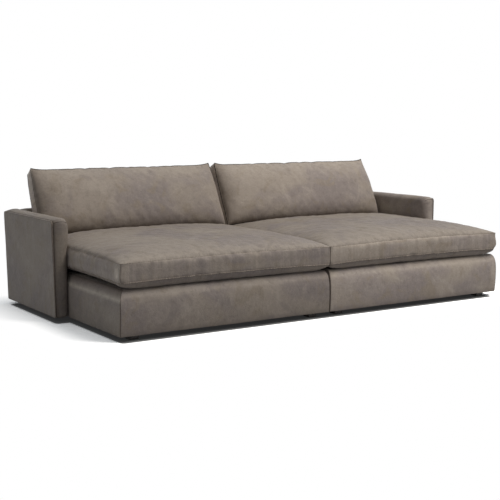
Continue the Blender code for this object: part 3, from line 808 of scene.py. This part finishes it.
def pad(piece, seed, depth=padding_depth, folds=fold_depth):
    """Gives an upholstered piece the small unevenness of padding and hide."""
    mesh = piece.data
    points = points_of(mesh)
    lumps = depth * uneven(points, padding_size, seed) + folds * uneven(points, fold_size, seed + 1)
    set_points(mesh, points + normals_of(mesh) * lumps[:, None])


def rounded(s, t, low, high, radius, low_radius):
    """Grid shares s and t as places in a rectangle with rounded corners, whose grid lines bend with
    them. The corners at the low end of t have low_radius."""
    reach = np.where(t < 0.5, low_radius, radius)
    across = low[0] + (high[0] - low[0]) * s
    up = low[1] + (high[1] - low[1]) * t
    core_across = np.clip(across, low[0] + reach, high[0] - reach)
    core_up = np.clip(up, low[1] + reach, high[1] - reach)
    a = (across - core_across) / reach
    b = (up - core_up) / reach
    return (
        core_across + reach * a * np.sqrt(1 - b * b / 2),
        core_up + reach * b * np.sqrt(1 - a * a / 2),
    )


def corner_shares(length, radius):
    """Grid shares along a side of that length, closer together in its rounded corners."""
    offsets = np.linspace(0, radius, corner_cuts + 1)
    return spaced(length, grid_spacing, offsets) / length


def near(distance, reach):
    """1 at no distance, falling ever more gently to 0 at reach and beyond."""
    return np.clip(1 - distance / reach, 0.0, 1.0) ** 2


def fade(distance, mark):
    """The strength of a mark at some distance from its place."""
    most, reach = mark
    return most * near(distance, reach)


def smooth(value):
    """0 below 0 and 1 above 1, with a soft step between."""
    share = np.clip(value, 0.0, 1.0)
    return share * share * (3 - 2 * share)


def unit(vectors):
    """The vectors, each brought to a length of 1."""
    return vectors / np.linalg.norm(vectors, axis=1)[:, None]


def finish_piece(piece, body, slot, *nodes):
    """Says what a piece stands for and what it moves with. slot, what it is made of, is not used."""
    if nodes:
        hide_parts(*nodes)
    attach(piece, body)


def joined_rings(name, rings, material, closed):
    """A skin over rings of points that follow each other, round to the first one or with closed ends."""
    count, around = rings.shape[:2]
    faces = []
    for ring in range(count if closed else count - 1):
        start, end = ring * around, (ring + 1) % count * around
        for n in range(around):
            m = (n + 1) % around
            faces.append((start + n, start + m, end + m, end + n))
    if not closed:
        faces.append(tuple(range(around))[::-1])
        faces.append(tuple(range((count - 1) * around, count * around)))
    return skin(name, rings, faces, material)


def sew(name, path, radius, thread, closed, body, slot="leather"):
    """A seam's rolled edge: a tube along a path of points."""
    ahead = np.roll(path, -1, 0)
    behind = np.roll(path, 1, 0)
    if not closed:
        ahead[-1] = path[-1]
        behind[0] = path[0]
    along = unit(ahead - behind)
    side = unit(np.cross(along, along[0] * off_seam_turn + np.array(off_seam)))
    other = np.cross(along, side)
    rings = []
    for n in range(welt_sides):
        angle = 2 * math.pi * n / welt_sides
        rings.append(path + radius * (side * math.cos(angle) + other * math.sin(angle)))
    welt = joined_rings(name, np.stack(rings, 1), thread, closed)
    soften(welt)
    finish_piece(welt, body, slot)


def soften(piece):
    levels = piece.modifiers.new("soften", "SUBSURF")
    levels.levels = 1
    levels.render_levels = 1


def lifted(piece, vertices, out=welt_out):
    """The places of some of a piece's vertices, just outside its skin."""
    return points_of(piece.data)[vertices] + out * normals_of(piece.data)[vertices]


def ring_of(index, layer):
    """The vertices round one layer of a block, in order."""
    return np.concatenate(
        [index[:-1, 0, layer], index[-1, :-1, layer], index[:0:-1, -1, layer], index[0, :0:-1, layer]]
    )


# Base


def build_base(prefix, side, leather, thread):
    """The leather round a chaise's rails, rolled over at its top and recessed for the deck."""
    inner, outer = base_low.x, base_high.x
    straight = base_high.z - base_roll_down - base_low.z - base_hem_radius
    heights = [base_low.z + base_hem_radius + height for height in spaced(straight, grid_spacing)]
    turned = base_hem_turn * base_hem_radius
    profile = [(base_hem_radius, base_low.z), (turned, base_low.z + turned)]
    profile += [(0.0, height) for height in heights]
    for step in range(1, roll_cuts + 1):
        angle = math.radians(90) * step / roll_cuts
        inset = base_roll_in * (1 - math.cos(angle))
        profile.append((inset, base_high.z - base_roll_down * (1 - math.sin(angle))))
    insets, heights = np.array(profile).T
    last = len(heights) - 1
    width, depth = outer - inner, base_high.y - base_low.y
    lower, upper = (inner, base_low.y), (outer, base_high.y)

    def edged(length):
        """Grid shares of one side of the base, with two lines close together at the deck's edge."""
        border = np.array([base_border - base_border_half, base_border + base_border_half]) / length
        inside = corner_shares(length, base_corner_radius)
        border = np.concatenate([border, 1 - border])
        keep = np.all(np.abs(inside - border[:, None]) > base_border_clear, axis=0)
        return np.sort(np.concatenate([inside[keep], border]))

    def place(u, v, layer):
        inset = insets[layer]
        radius = np.maximum(base_corner_radius - inset, hem_corner_radius)
        height = (heights[layer] - base_low.z) / (base_high.z - base_low.z)
        bulge = base_face_bulge * 4 * height * (1 - height)
        low = [lower[0] + base_inner_roll * inset, lower[1] + inset]
        high = [upper[0] - base_outer_rolls[side] * inset, upper[1] - inset]
        out, y = rounded(u, v, low, high, radius, radius)
        in_front = smooth((arm_low.y - y) / base_bulge_run)
        out = out + base_side_bulge * in_front * u**base_bulge_power
        y = y - bulge * (1 - v) ** base_bulge_power
        z = heights[layer].copy()
        to_edge = np.minimum.reduce([out - inner, outer - out, y - base_low.y, base_high.y - y])
        z[(layer == last) & (to_edge > base_border)] -= base_pad_recess
        return side * out, y, z

    def marks(u, v, layer):
        z = heights[layer]
        to_corner = np.minimum(u, 1 - u) * width + np.minimum(v, 1 - v) * depth
        # Painted highlight round the rolled top edge; painted shade at the hem, the corners, the bottom and
        # the outer side's top
        highlight_height = base_high.z - np.where(u == 1, base_highlight_side, base_highlight_front)
        roll = near(np.abs(z - highlight_height), base_highlight_reach) * (layer < last)
        hem = fade(z - base_low.z, base_hem_fold_shade)
        corner = fade(to_corner, base_corner_shade)
        shade = fade(z - base_low.z, base_hem_shade)
        overhung = fade(base_high.z - z, base_side_shade) * (u == 1)
        return {
            "crease": np.maximum.reduce([hem, corner, shade, overhung]),
            "wear": np.where(u == 1, base_side_highlight, base_roll_highlight) * roll,
            "seam": near(to_corner, gather_reach),
            "along": z,
        }

    seed = seeds["base"] + (side > 0)
    hides = seed + np.array(base_hides)
    grid = (edged(width), edged(depth), len(heights))
    name = f"{prefix}_base"
    body = f"{prefix}_chaise"
    piece, index = block(f"{name}_leather", *grid, place, marks, hides, leather, base_painted_light[side])
    pad(piece, seed)
    finish_piece(piece, body, "leather", f"{name}_cover")
    for end, i in (("inner", 0), ("outer", -1)):
        path = lifted(piece, index[i, 0, 1 : last - 1])
        sew(f"{name}_{end}_seam", path, base_welt_radius, thread, False, body)


# Arms and backs


def build_stack(name, form, layers, marks, leather, seed, tones, *padding):
    """An upholstered skin through a stack of rounded rectangles. form holds their low and high corners,
    across and up, which low and high sides a crown draws in, and the function that places their points.
    layers holds each one's place through the piece, inset, crown and corner radius."""
    low, high, drawn, place_at = form
    throughs, insets, crowns, radii = layers
    width, height = high[0] - low[0], high[1] - low[1]

    def place(u, v, layer):
        lower = [low[n] + insets[layer] + crowns[layer] * drawn[0][n] for n in (0, 1)]
        upper = [high[n] - insets[layer] - crowns[layer] * drawn[1][n] for n in (0, 1)]
        a, b = rounded(u, v, lower, upper, radii[layer], hem_corner_radius)
        return place_at(throughs[layer], a, b)

    def all_marks(u, v, layer):
        to_edge = np.minimum(np.minimum(u, 1 - u) * width, np.minimum(v, 1 - v) * height)
        return marks(v * height, to_edge, layer) | {"along": u * width + v * height}

    grid = (corner_shares(width, radii[0]), corner_shares(height, radii[0]), len(throughs))
    piece, index = block(name, *grid, place, all_marks, (seed,) * 6, leather, tones)
    pad(piece, seed, *padding)
    return piece, index


def build_wrap(name, inner, rim, roll, crown, form, leather, seed, tones):
    """Upholstery from a rounded show face at inner to the rim where an outer panel closes it."""
    angles = np.linspace(0, math.radians(90), roll_cuts)
    shares = np.linspace(0, 1, crown_cuts)[1:]
    insets = np.concatenate([roll * (1 - np.sin(angles)), 0 * shares])
    rolled = inner + roll * (1 - np.cos(angles))
    throughs = np.concatenate([rolled, inner + roll + (rim - inner - roll) * shares])
    crowns = np.concatenate([0 * angles, crown * shares**2])
    wider = rim_corner_radius - show_corner_radius
    radii = show_corner_radius + wider * (throughs - inner) / (rim - inner)

    def marks(up, to_edge, layer):
        edge = to_edge == 0
        to_rim = rim - throughs[layer]
        # Painted shade by the rim seam and along the hem
        return {
            "crease": np.maximum(fade(to_rim, rim_shade), fade(up, wrap_hem_shade)) * edge,
            "wear": fade(np.abs(throughs[layer] - inner - roll), wrap_rub) * edge,
            "seam": near(to_rim, gather_reach) * edge,
        }

    return build_stack(name, form, (throughs, insets, crowns, radii), marks, leather, seed, tones)


def build_panel(name, rim, outer, crown, form, leather, seed):
    """A flat padded panel over a wrap's rim, its edges folded over."""
    insets = np.array(panel_fold_insets) * panel_hem
    folds = outer - np.array(panel_fold_depths) * panel_hem
    throughs = np.array([rim, rim + panel_side_share * (outer - rim), *folds])
    layers = (throughs, insets, np.full(len(insets), crown), np.full(len(insets), rim_corner_radius))

    def marks(up, to_edge, layer):
        # Painted shade on the panel's sides and along its edges
        return {
            "crease": np.maximum(panel_side_shade * (layer < 2), fade(to_edge, panel_edge_shade)),
            "wear": panel_rub * (layer == 3),
            "seam": near(to_edge, gather_reach),
        }

    padding = (panel_padding_depth, 0.5 * panel_padding_depth)
    return build_stack(name, form, layers, marks, leather, seed, panel_tones, *padding)


def build_upholstery(name, body, ends, roll, crown, form, seed, tones, leather, thread):
    """The wrap of an arm or a back, the outer panel that closes it and the seam between them."""
    inner, rim, outer = ends
    wrap, index = build_wrap(f"{name}_leather", inner, rim, roll, crown, form, leather, seed, tones)
    finish_piece(wrap, body, "leather", f"{name}_wrap")
    panel, _ = build_panel(f"{name}_panel_leather", rim + panel_gap, outer, crown, form, leather, seed + 2)
    finish_piece(panel, body, "leather", f"{name}_outer_panel")
    sew(f"{name}_panel_seam", lifted(wrap, ring_of(index, -1)), welt_radius, thread, True, body)
    return wrap, index


def build_arm(prefix, side, leather, thread):
    name, body = f"{prefix}_arm", f"{prefix}_chaise"

    def place_at(through, y, z):
        height = (z - arm_low.z) / (arm_high.z - arm_low.z)
        share = (through - arm_low.x) / (arm_high.x - arm_low.x)
        swell = arm_swell * smooth((z - arm_swell_low) / arm_swell_run) * (1 - share)
        return side * (through + arm_leans[side] * height * share - swell), y, z + arm_lifts[side] * height

    form = ((arm_low.y, arm_low.z), (arm_high.y, arm_high.z), ((1, 0), (0, 1)), place_at)
    ends = (arm_low.x, arm_high.x, arm_panel_high.x)
    looks = (seeds["arm"] + 4 * (side > 0), arm_painted_light[side], leather, thread)
    wrap, index = build_upholstery(name, body, ends, arm_roll_radius, arm_crown, form, *looks)
    path = lifted(wrap, index[0, -2, roll_cuts // 2 :])
    sew(f"{name}_front_seam", path, welt_radius, thread, False, body)


def build_back(prefix, side, leather, thread):
    def place_at(through, out, z):
        return side * out, through, z

    form = ((back_low.x, back_low.z), (back_high.x, back_high.z), ((0, 0), (0, 1)), place_at)
    ends = (back_low.y, back_high.y, back_panel_high.y)
    looks = (seeds["back"] + 4 * (side > 0), (1.0,) * 6, leather, thread)
    build_upholstery(f"{prefix}_back", f"{prefix}_chaise", ends, back_roll_radius, back_crown, form, *looks)


# Cushions


def mound(u, v, power_across, power_along):
    """1 in the middle of a panel and 0 along its edges, rising steeply as a tight filling does."""
    inside = (1 - np.abs(u) ** power_across) * (1 - np.abs(v) ** power_along)
    return np.sqrt(np.maximum(inside, 0.0))


def cushion_marks(u, v, ends, half_across, half_along):
    """Attributes of a cushion's skin. ends is the distance to the nearer seam on its sides. The seams and
    corners get painted shade, a band just off the seams a painted highlight, and the sides near their
    upright corners rubbed wear with a painted highlight."""
    across = (1 - np.abs(u)) * half_across
    along = (1 - np.abs(v)) * half_along
    on_side = (across == 0) | (along == 0)
    to_seam = np.where(on_side, ends, np.minimum(across, along))
    lengthwise = np.where(across < along, v * half_along, u * half_across)
    to_corner = np.maximum(across, along)
    corner_rub_and_highlight = near(to_corner, corner_rub_and_highlight_reach) * (across == 0) * (along > 0)
    return {
        "crease": np.maximum(fade(to_seam, seam_shade), fade(to_corner, corner_shade)),
        "boxing": on_side,
        "wear": np.maximum(fade(np.abs(to_seam - seam_highlight_at), seam_highlight), corner_rub_and_highlight),
        "seam": np.exp(-to_seam / seam_gather),
        "along": lengthwise,
    }


def marked(found, crease, wear):
    """Adds painted shade, and wear with painted highlights, to those found, and keeps the strongest at each
    point.
    """
    return found | {
        "crease": np.maximum.reduce([found["crease"], *crease]),
        "wear": np.maximum.reduce([found["wear"], *wear]),
    }


def crease_seams(piece, index):
    """Keeps the seams of a cushion crisp when its skin is softened."""
    mesh = piece.data
    seam = set()
    for layer in (0, -1):
        ring = ring_of(index, layer)
        seam |= {frozenset(pair) for pair in zip(ring.tolist(), np.roll(ring, -1).tolist())}
    values = [seam_sharpness if frozenset(edge.vertices) in seam else 0.0 for edge in mesh.edges]
    layer = mesh.attributes.new("crease_edge", "FLOAT", "EDGE")
    layer.data.foreach_set("value", values)


def cushion_skin(name, halves, layers, place, marks, seed, hides, tones, padding, leather):
    """A cushion's skin before it is puffed. place and marks take grid places of -1 to 1 across and along."""
    grid = [spaced(2 * half, cushion_spacing, seam_offsets) / half - 1 for half in halves]
    hides = seed + np.array(hides)
    piece, index = block(name, *grid, len(layers), place, marks, hides, leather, tones)
    pad(piece, seed, padding, cushion_fold_depth)
    return piece, index


def seat_cushion(prefix, side, leather):
    """The skin of a seat cushion: boxed, with a crown, a belly and a pressed rear."""
    inner = base_low.x + seat_side_gap / 2
    outer = arm_low.x - seat_side_gap
    middle_out, middle_y = (inner + outer) / 2, (seat_low.y + seat_high.y) / 2
    half_out, half_y = (outer - inner) / 2, (seat_high.y - seat_low.y) / 2
    layers = np.array(seat_layers)

    def place(u, v, layer):
        t = layers[layer]
        to_corner = np.abs(u * v)
        inner_share = np.where(u > 0, 1.0, seat_inner_corner)
        radius = np.interp(t, seat_corner_heights, seat_corner_radii) * inner_share
        low, high = (-half_out, -half_y), (half_out, half_y)
        out, y = rounded((u + 1) / 2, (v + 1) / 2, low, high, radius, radius)
        outward_x = (out - np.clip(out, radius - half_out, half_out - radius)) / radius
        outward_y = (y - np.clip(y, radius - half_y, half_y - radius)) / radius
        at_corner = np.interp(t, seat_corner_heights, seat_corner_bulges)
        inflated = seat_boxing_bulge * 4 * t * (1 - t)
        bulge = at_corner + (inflated - at_corner) * (1 - to_corner**seat_bulge_power)
        bulge = bulge * ((np.abs(u) == 1) | (np.abs(v) == 1))
        spread = seat_low_spread * (1 - t)
        out = out - u * (seat_side_draw * (1 - v * v) - spread) + outward_x * bulge
        y = y - v * seat_side_draw * (1 - u * u) + outward_y * bulge
        y = y - seat_front_spread * (1 - t) * (1 - to_corner**seat_front_spread_power) * np.maximum(-v, 0)
        lift = seat_seam_lift * (1 - to_corner**2)
        pressed = seat_press * smooth((middle_y + y - seat_press_start) / seat_press_run)
        crown = (seat_crown - pressed) * mound(u, v, seat_crown_power, seat_crown_power)
        top = seat_seam_high + lift + crown
        hollow = fade((1 - np.abs(u)) * half_out, seat_side_hollow)
        hollow = hollow * smooth((1 + v) * half_y / seat_side_hollow_start)
        belly = seat_belly * (1 - hollow)
        bottom = seat_seam_low + lift - belly * mound(u, v, seat_belly_power, seat_belly_power)
        bottom = np.maximum(bottom, seat_low.z)
        return side * (middle_out + out), middle_y + y, bottom + (top - bottom) * t

    def marks(u, v, layer):
        t = layers[layer]
        ends = np.minimum(t, 1 - t) * (seat_seam_high - seat_seam_low)
        found = cushion_marks(u, v, ends, half_out, half_y)
        # Painted highlights over the front of the top and on the sides near the front corners; painted shade
        # down the front boxing and on the belly
        from_front = (1 + v) * half_y
        front_highlight = (fade(from_front, seat_front_highlight) + fade(from_front, seat_lip_highlight)) * (t == 1)
        corner_highlight = fade(np.abs(from_front - seat_corner_highlight_at), seat_corner_highlight) * (np.abs(u) == 1)
        corner_highlight = corner_highlight * 4 * t * (1 - t)
        box_shade = seat_box_shades[side] * (1 - t) ** seat_box_shade_power * (v == -1)
        return marked(found, (box_shade, seat_belly_shade * (t == 0)), (front_highlight, corner_highlight))

    form = (f"{prefix}_seat_cushion_leather", (half_out, half_y), layers, place, marks)
    looks = (seeds["seat"] + 4 * (side > 0), seat_hides, seat_painted_light[side], seat_padding_depth)
    return cushion_skin(*form, *looks, leather)


def pillow_section():
    """The side of a back cushion in the plane of y and z: its front foot and top, its rear foot and the
    bend over the back, its rear top, and the directions up its slope and in from its front."""
    foot = pillow_low.z + pillow_pocket + pillow_droop
    front_foot = np.array([pillow_front, foot])
    front_top = np.array([pillow_top_front, pillow_high.z])
    up = (front_top - front_foot) / np.linalg.norm(front_top - front_foot)
    inward = np.array([up[1], -up[0]])
    rear_y = back_low.y - cover_gap
    rear_foot = np.array([rear_y, foot - pillow_pocket])
    bend = np.array([rear_y, back_high.z + pillow_clear_top])
    return front_foot, front_top, rear_foot, bend, front_top + inward * pillow_edge, up, inward


def back_cushion(prefix, side, leather):
    """The skin of a back cushion: boxed, wedge-shaped and crowned."""
    inner, outer = pillow_inner, arm_low.x - pillow_outer_gaps[side]
    middle_out, half = (inner + outer) / 2, (outer - inner) / 2
    front_foot, front_top, rear_foot, bend, rear_top, up, inward = pillow_section()
    half_height = np.linalg.norm(front_top - front_foot) / 2
    layers = np.array(pillow_layers)

    def place(u, v, layer):
        t = layers[layer][:, None]
        share = (v + 1) / 2
        raised = np.maximum(v, 0)[:, None]
        face = front_foot + (front_top - front_foot) * share[:, None]
        to_bend = np.minimum(2 * share, 1)[:, None]
        rear = rear_foot + (bend - rear_foot) * to_bend + (rear_top - bend) * raised
        rise = np.where(v < 0, np.sqrt(np.maximum(1 - np.abs(v) ** pillow_foot_power, 0)), 1 - v * v)
        crown = (mound(u, 0 * v, pillow_side_power, 1) * rise)[:, None]
        face = face - inward * pillow_crown * crown
        rear = rear + inward * pillow_rear_crown * crown * raised
        puffed = 4 * layers[layer] * (1 - layers[layer]) * (1 - (u * v) ** 2)
        drawn = pillow_side_draw * (1 - v * v) + pillow_top_taper * share**pillow_taper_power
        out = u * (half - drawn) + np.maximum(u, 0) * pillow_face_spread * layers[layer]
        out = out - np.where(u == -1, pillow_bulges[0] * puffed, 0)
        out = out + np.where(u == 1, pillow_bulges[1] * puffed, 0)
        point = rear + (face - rear) * t
        draw = pillow_top_draw * (1 - np.abs(u) ** pillow_draw_power) * raised[:, 0]
        draw = draw - np.where(v == 1, pillow_bulges[2] * puffed, 0)
        point = point - up * draw[:, None]
        fall = pillow_droop * (1 - mound(u, 0 * v, pillow_side_power, 1)) * v * v * (v < 0)
        return side * (middle_out + out), point[:, 0], point[:, 1] - fall

    def marks(u, v, layer):
        t = layers[layer]
        found = cushion_marks(u, v, np.minimum(t, 1 - t) * pillow_edge, half, half_height)
        # Painted shade at the foot and near the -X end; painted highlight along the head
        foot = fade((1 + v) * half_height, pillow_foot_shade)
        end = fade((1 + side * u) * half, pillow_end_shade) * (np.abs(u) < 1)
        return marked(found, (foot, end), (fade((1 - v) * half_height, pillow_head_highlight),))

    form = (f"{prefix}_back_cushion_leather", (half, half_height), layers, place, marks)
    looks = (seeds["pillow"] + 4 * (side > 0), pillow_hides, pillow_painted_light[side], pillow_padding_depth)
    return cushion_skin(*form, *looks, leather)


def puff(cushions):
    """Lets the leather of the cushions go slack and fill up as cloth, on springs that stand for the
    filling, and keeps each point within a cap of where it was."""
    scene = bpy.context.scene
    for piece, index in cushions:
        hold = np.full(len(piece.data.vertices), puff_hold)
        hold[index[:, :, 0].ravel()] = puff_top_hold
        hold[index[:, :, -1].ravel()] = puff_top_hold
        for layer in (0, -1):
            hold[ring_of(index, layer)] = puff_seam_hold
        group = piece.vertex_groups.new(name=puff_settings["vertex_group_mass"])
        for weight in np.unique(hold):
            group.add(np.flatnonzero(hold == weight).tolist(), weight, "REPLACE")
        cloth = piece.modifiers.new("puff", "CLOTH")
        cloth.point_cache.frame_end = puff_frames
        for name, value in puff_settings.items():
            setattr(cloth.settings, name, value)
        cloth.settings.effector_weights.gravity = 0.0
    for number in range(1, puff_frames + 1):
        scene.frame_set(number)
    graph = bpy.context.evaluated_depsgraph_get()
    for piece, index in cushions:
        start = points_of(piece.data)
        move = points_of(piece.evaluated_get(graph).data) - start
        reach = np.linalg.norm(move, axis=1)
        move *= (puff_cap * np.tanh(reach / puff_cap) / np.maximum(reach, 1e-9))[:, None]
        piece.modifiers.remove(piece.modifiers["puff"])
        piece.vertex_groups.clear()
        set_points(piece.data, start + move)
    scene.frame_set(1)


def gather(piece, seed):
    """Puckers a cushion's skin along its seams."""
    mesh = piece.data
    points = points_of(mesh)
    values = np.empty(len(points), np.float32)
    mesh.attributes["seam"].data.foreach_get("value", values)
    waves = uneven(points, pucker_size, seed)
    set_points(mesh, points + normals_of(mesh) * (pucker_depth * waves * np.sqrt(values))[:, None])


def keep_seat_clear(piece, side):
    """Holds a seat cushion off the deck, the arm, the back and its neighbour."""
    points = points_of(piece.data)
    out = side * points[:, 0]
    beside_arm = smooth((points[:, 1] - arm_low.y + seat_arm_run) / seat_arm_run)
    most = arm_low.x - side_clearance + (1 - beside_arm) * (base_side_bulge + side_clearance)
    points[:, 0] = side * np.clip(out, side_clearance, most)
    points[:, 1] = np.clip(points[:, 1], cad_box[0].y - front_overhang, back_low.y - side_clearance)
    points[:, 2] = np.maximum(points[:, 2], seat_low.z)
    set_points(piece.data, points)


def keep_pillow_clear(piece, side, seat):
    """Sets a back cushion on its seat cushion and against the back, clear of the arm and its neighbour."""
    graph = bpy.context.evaluated_depsgraph_get()
    tree = BVHTree.FromObject(seat, graph)
    points = points_of(piece.data)
    points[:, 0] = side * np.clip(side * points[:, 0], side_clearance, arm_low.x - side_clearance)
    below = points[:, 2] < back_high.z + pillow_rest_top
    points[below, 1] = np.minimum(points[below, 1], back_low.y - cover_gap)
    for n in np.flatnonzero(points[:, 2] < pillow_low.z + pillow_rest_height):
        x, y, z = points[n]
        hit = tree.ray_cast(Vector((x, y, above_all)), Vector(down))[0]
        if hit:
            points[n, 2] = max(z, hit.z + cover_gap)
    set_points(piece.data, points)


def along_path(path, places):
    """Points at some distances along a path of points, the directions there and the path's length."""
    steps = np.linalg.norm(np.diff(path, axis=0), axis=1)
    reached = np.concatenate([[0.0], np.cumsum(steps)])

    def at(distances):
        return np.stack([np.interp(distances, reached, path[:, n]) for n in range(3)], 1)

    return at(places), unit(at(places + path_step) - at(places - path_step)), reached[-1]


def bars(name, centres, along, across, outward, size, material):
    """Small blocks of one size, each turned to its own directions."""
    corners = np.array([(a, b, c) for a in (-1, 1) for b in (-1, 1) for c in (-1, 1)]) / 2
    faces = np.array([(0, 1, 3, 2), (4, 6, 7, 5), (0, 4, 5, 1), (2, 3, 7, 6), (0, 2, 6, 4), (1, 5, 7, 3)])
    frames = np.stack([along * size[0], across * size[1], outward * size[2]], 1)
    points = centres[:, None, :] + corners @ frames
    all_faces = faces + 8 * np.arange(len(centres))[:, None, None]
    piece = skin(name, points, all_faces.reshape(-1, 4).tolist(), material)
    bevel = piece.modifiers.new("edges", "BEVEL")
    bevel.width = bar_bevel * min(size)
    bevel.segments = 1
    return piece


def build_zip(name, path, outward, tape, teeth, body):
    """A zip sewn into a cushion's boxing along path: two tapes, a row of teeth, a slider and its pull."""
    length = along_path(path, np.array([0.0]))[2]
    start, end = zip_margin, length - zip_margin
    outward = np.array(outward, float)

    def laid(places, up, out):
        centres, along, _ = along_path(path, places)
        normal = np.broadcast_to(outward, centres.shape)
        normal = unit(normal - along * (normal * along).sum(1)[:, None])
        across = np.cross(along, normal)
        return centres + across * up + normal * out, along, across, normal

    places = np.arange(start, end, zip_step)
    rows = [laid(places, up * zip_tape_height, out)[0] for up, out in zip_tape_front + zip_tape_rear]
    tape_piece = joined_rings(f"{name}_tape", np.stack(rows, 1), tape, False)
    finish_piece(tape_piece, body, "zip_tape")
    metal_parts = (
        ("teeth", np.arange(start, end, zip_tooth_pitch), zip_tooth_out, zip_tooth),
        ("slider", np.array([end - zip_slider_spot[0]]), zip_slider_spot[1], zip_slider),
        ("pull", np.array([end - zip_pull_spot[0]]), zip_pull_spot[1], zip_pull),
    )
    for part, spots, out, size in metal_parts:
        finish_piece(bars(f"{name}_{part}", *laid(spots, 0.0, out), size, teeth), body, "zinc_steel")


def finish_cushion(cushion, prefix, core, body, fill, welts, opening, outward, tape, teeth, outer_welt=None):
    """Dresses a shaped cushion: crisp seams, piping and a zip along its opening. welts holds the lower and
    upper radius and thread, and the upper piping has the radius outer_welt along the outer side."""
    piece, index = cushion
    crease_seams(piece, index)
    soften(piece)
    finish_piece(piece, body, "cushion_leather", f"{body}_cover", f"{prefix}_{core}_core", f"{body}_zip")
    for ending, layer, (radius, thread) in (("lower", 0, welts[0]), ("upper", -1, welts[1])):
        ring = ring_of(index, layer)
        radii = np.full((len(ring), 1), radius)
        if outer_welt and ending == "upper":
            radii[np.isin(ring, index[-1, 1:-1, layer])] = outer_welt
        sew(f"{body}_{ending}_seam", lifted(piece, ring), radii, thread, True, body, "cushion_leather")
    path = lifted(piece, index[:, opening, index.shape[2] // 2])
    build_zip(f"{body}_zip", path, outward, tape, teeth, body)


def build_cushions(leather, welt, piping, tape, teeth):
    seats = {side: seat_cushion(prefix, side, leather) for prefix, side in sides}
    pillows = {side: back_cushion(prefix, side, leather) for prefix, side in sides}
    puff([*seats.values(), *pillows.values()])
    for prefix, side in sides:
        gather(seats[side][0], seeds["seat"])
        keep_seat_clear(seats[side][0], side)
        names = (prefix, "seat_foam", f"{prefix}_seat_cushion")
        welts = ((low_welt_radius, welt), (welt_radius, welt))
        finish_cushion(seats[side], *names, 0.8, welts, -1, rearward, tape, teeth)
    for prefix, side in sides:
        gather(pillows[side][0], seeds["pillow"])
        keep_pillow_clear(pillows[side][0], side, seats[side][0])
        names = (prefix, "back_fibre", f"{prefix}_back_cushion")
        welts = ((pillow_rear_welt, piping), (pillow_front_welt, piping))
        finish_cushion(pillows[side], *names, 0.7, welts, 0, down, tape, teeth, pillow_outer_welt)


# Deck pads, dust covers and hard parts


def build_deck(prefix, felt):
    """The quilted pad in the opening of the base cover."""
    low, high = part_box(f"{prefix}_deck_pad")
    width, depth = high.x - low.x, high.y - low.y

    def place(u, v, layer):
        x, y = low.x + width * u, low.y + depth * v
        across = np.abs(np.sin(math.pi * (x - low.x) / deck_quilt))
        along = np.abs(np.sin(math.pi * (y - low.y) / deck_quilt))
        quilt = deck_quilt_depth * (1 - np.sqrt(np.minimum(across, along)))
        fold = np.where(layer == 1, deck_edge_fold, 0.0)
        return x, y, np.where(layer == 0, low.z, high.z - fold - quilt * (layer == 2))

    grid = (spaced(width, deck_spacing) / width, spaced(depth, deck_spacing) / depth, 3)
    piece, _ = block(f"{prefix}_deck_felt", *grid, place, unmarked, (0,) * 6, felt)
    finish_piece(piece, f"{prefix}_chaise", "deck_felt", f"{prefix}_deck_pad")


def build_dust_cover(prefix, cloth):
    """The thin cloth stapled under the frame, a little slack between the rails."""
    low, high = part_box(f"{prefix}_dust_cover")
    width, depth = high.x - low.x, high.y - low.y

    def place(u, v, layer):
        points = np.stack([low.x + width * u, low.y + depth * v, np.where(layer == 0, low.z, high.z)], 1)
        rise = np.minimum(1, dust_ripple_rise * np.minimum(u, 1 - u) * np.minimum(v, 1 - v))
        ripple = dust_ripple * uneven(points, dust_ripple_size, seeds["dust"]) * rise
        return points[:, 0], points[:, 1], points[:, 2] + ripple - dust_lower

    grid = (spaced(width, dust_spacing) / width, spaced(depth, dust_spacing) / depth, 2)
    piece, _ = block(f"{prefix}_dust_cloth", *grid, place, unmarked, (0,) * 6, cloth)
    finish_piece(piece, f"{prefix}_chaise", "dust_cloth", f"{prefix}_dust_cover")


def dress_hard_parts(timber, stained, webbing, steel):
    """The CAD nodes that keep their own shape get their finish."""
    finishes = (
        (("_rail", "_frame"), timber),
        ("_foot", stained),
        ("_webbing", webbing),
        (("_plate", "_tongue"), steel),
    )
    for node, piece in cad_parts.items():
        for endings, material in finishes:
            if node.endswith(endings):
                piece.data.materials.clear()
                piece.data.materials.append(material)


def build_sofa():
    leather = make_leather()
    thread, piping, welt = (make_thread(name) for name in ("seam_leather", "piping_leather", "welt_leather"))
    felt = make_felt()
    cloth = make_woven("dust_cloth")
    for prefix, side in sides:
        build_base(prefix, side, leather, thread)
        build_arm(prefix, side, leather, thread)
        build_back(prefix, side, leather, thread)
        build_deck(prefix, felt)
        build_dust_cover(prefix, cloth)
    build_cushions(leather, welt, piping, make_woven("zip_tape"), make_metal("zip_teeth"))
    webbing, steel = make_woven("elastic_webbing"), make_metal("zinc_steel")
    dress_hard_parts(make_timber(), make_stained_wood(), webbing, steel)


add_camera()
add_floor()
add_light()
build_sofa()

bpy.context.scene.view_settings.view_transform = "Standard"
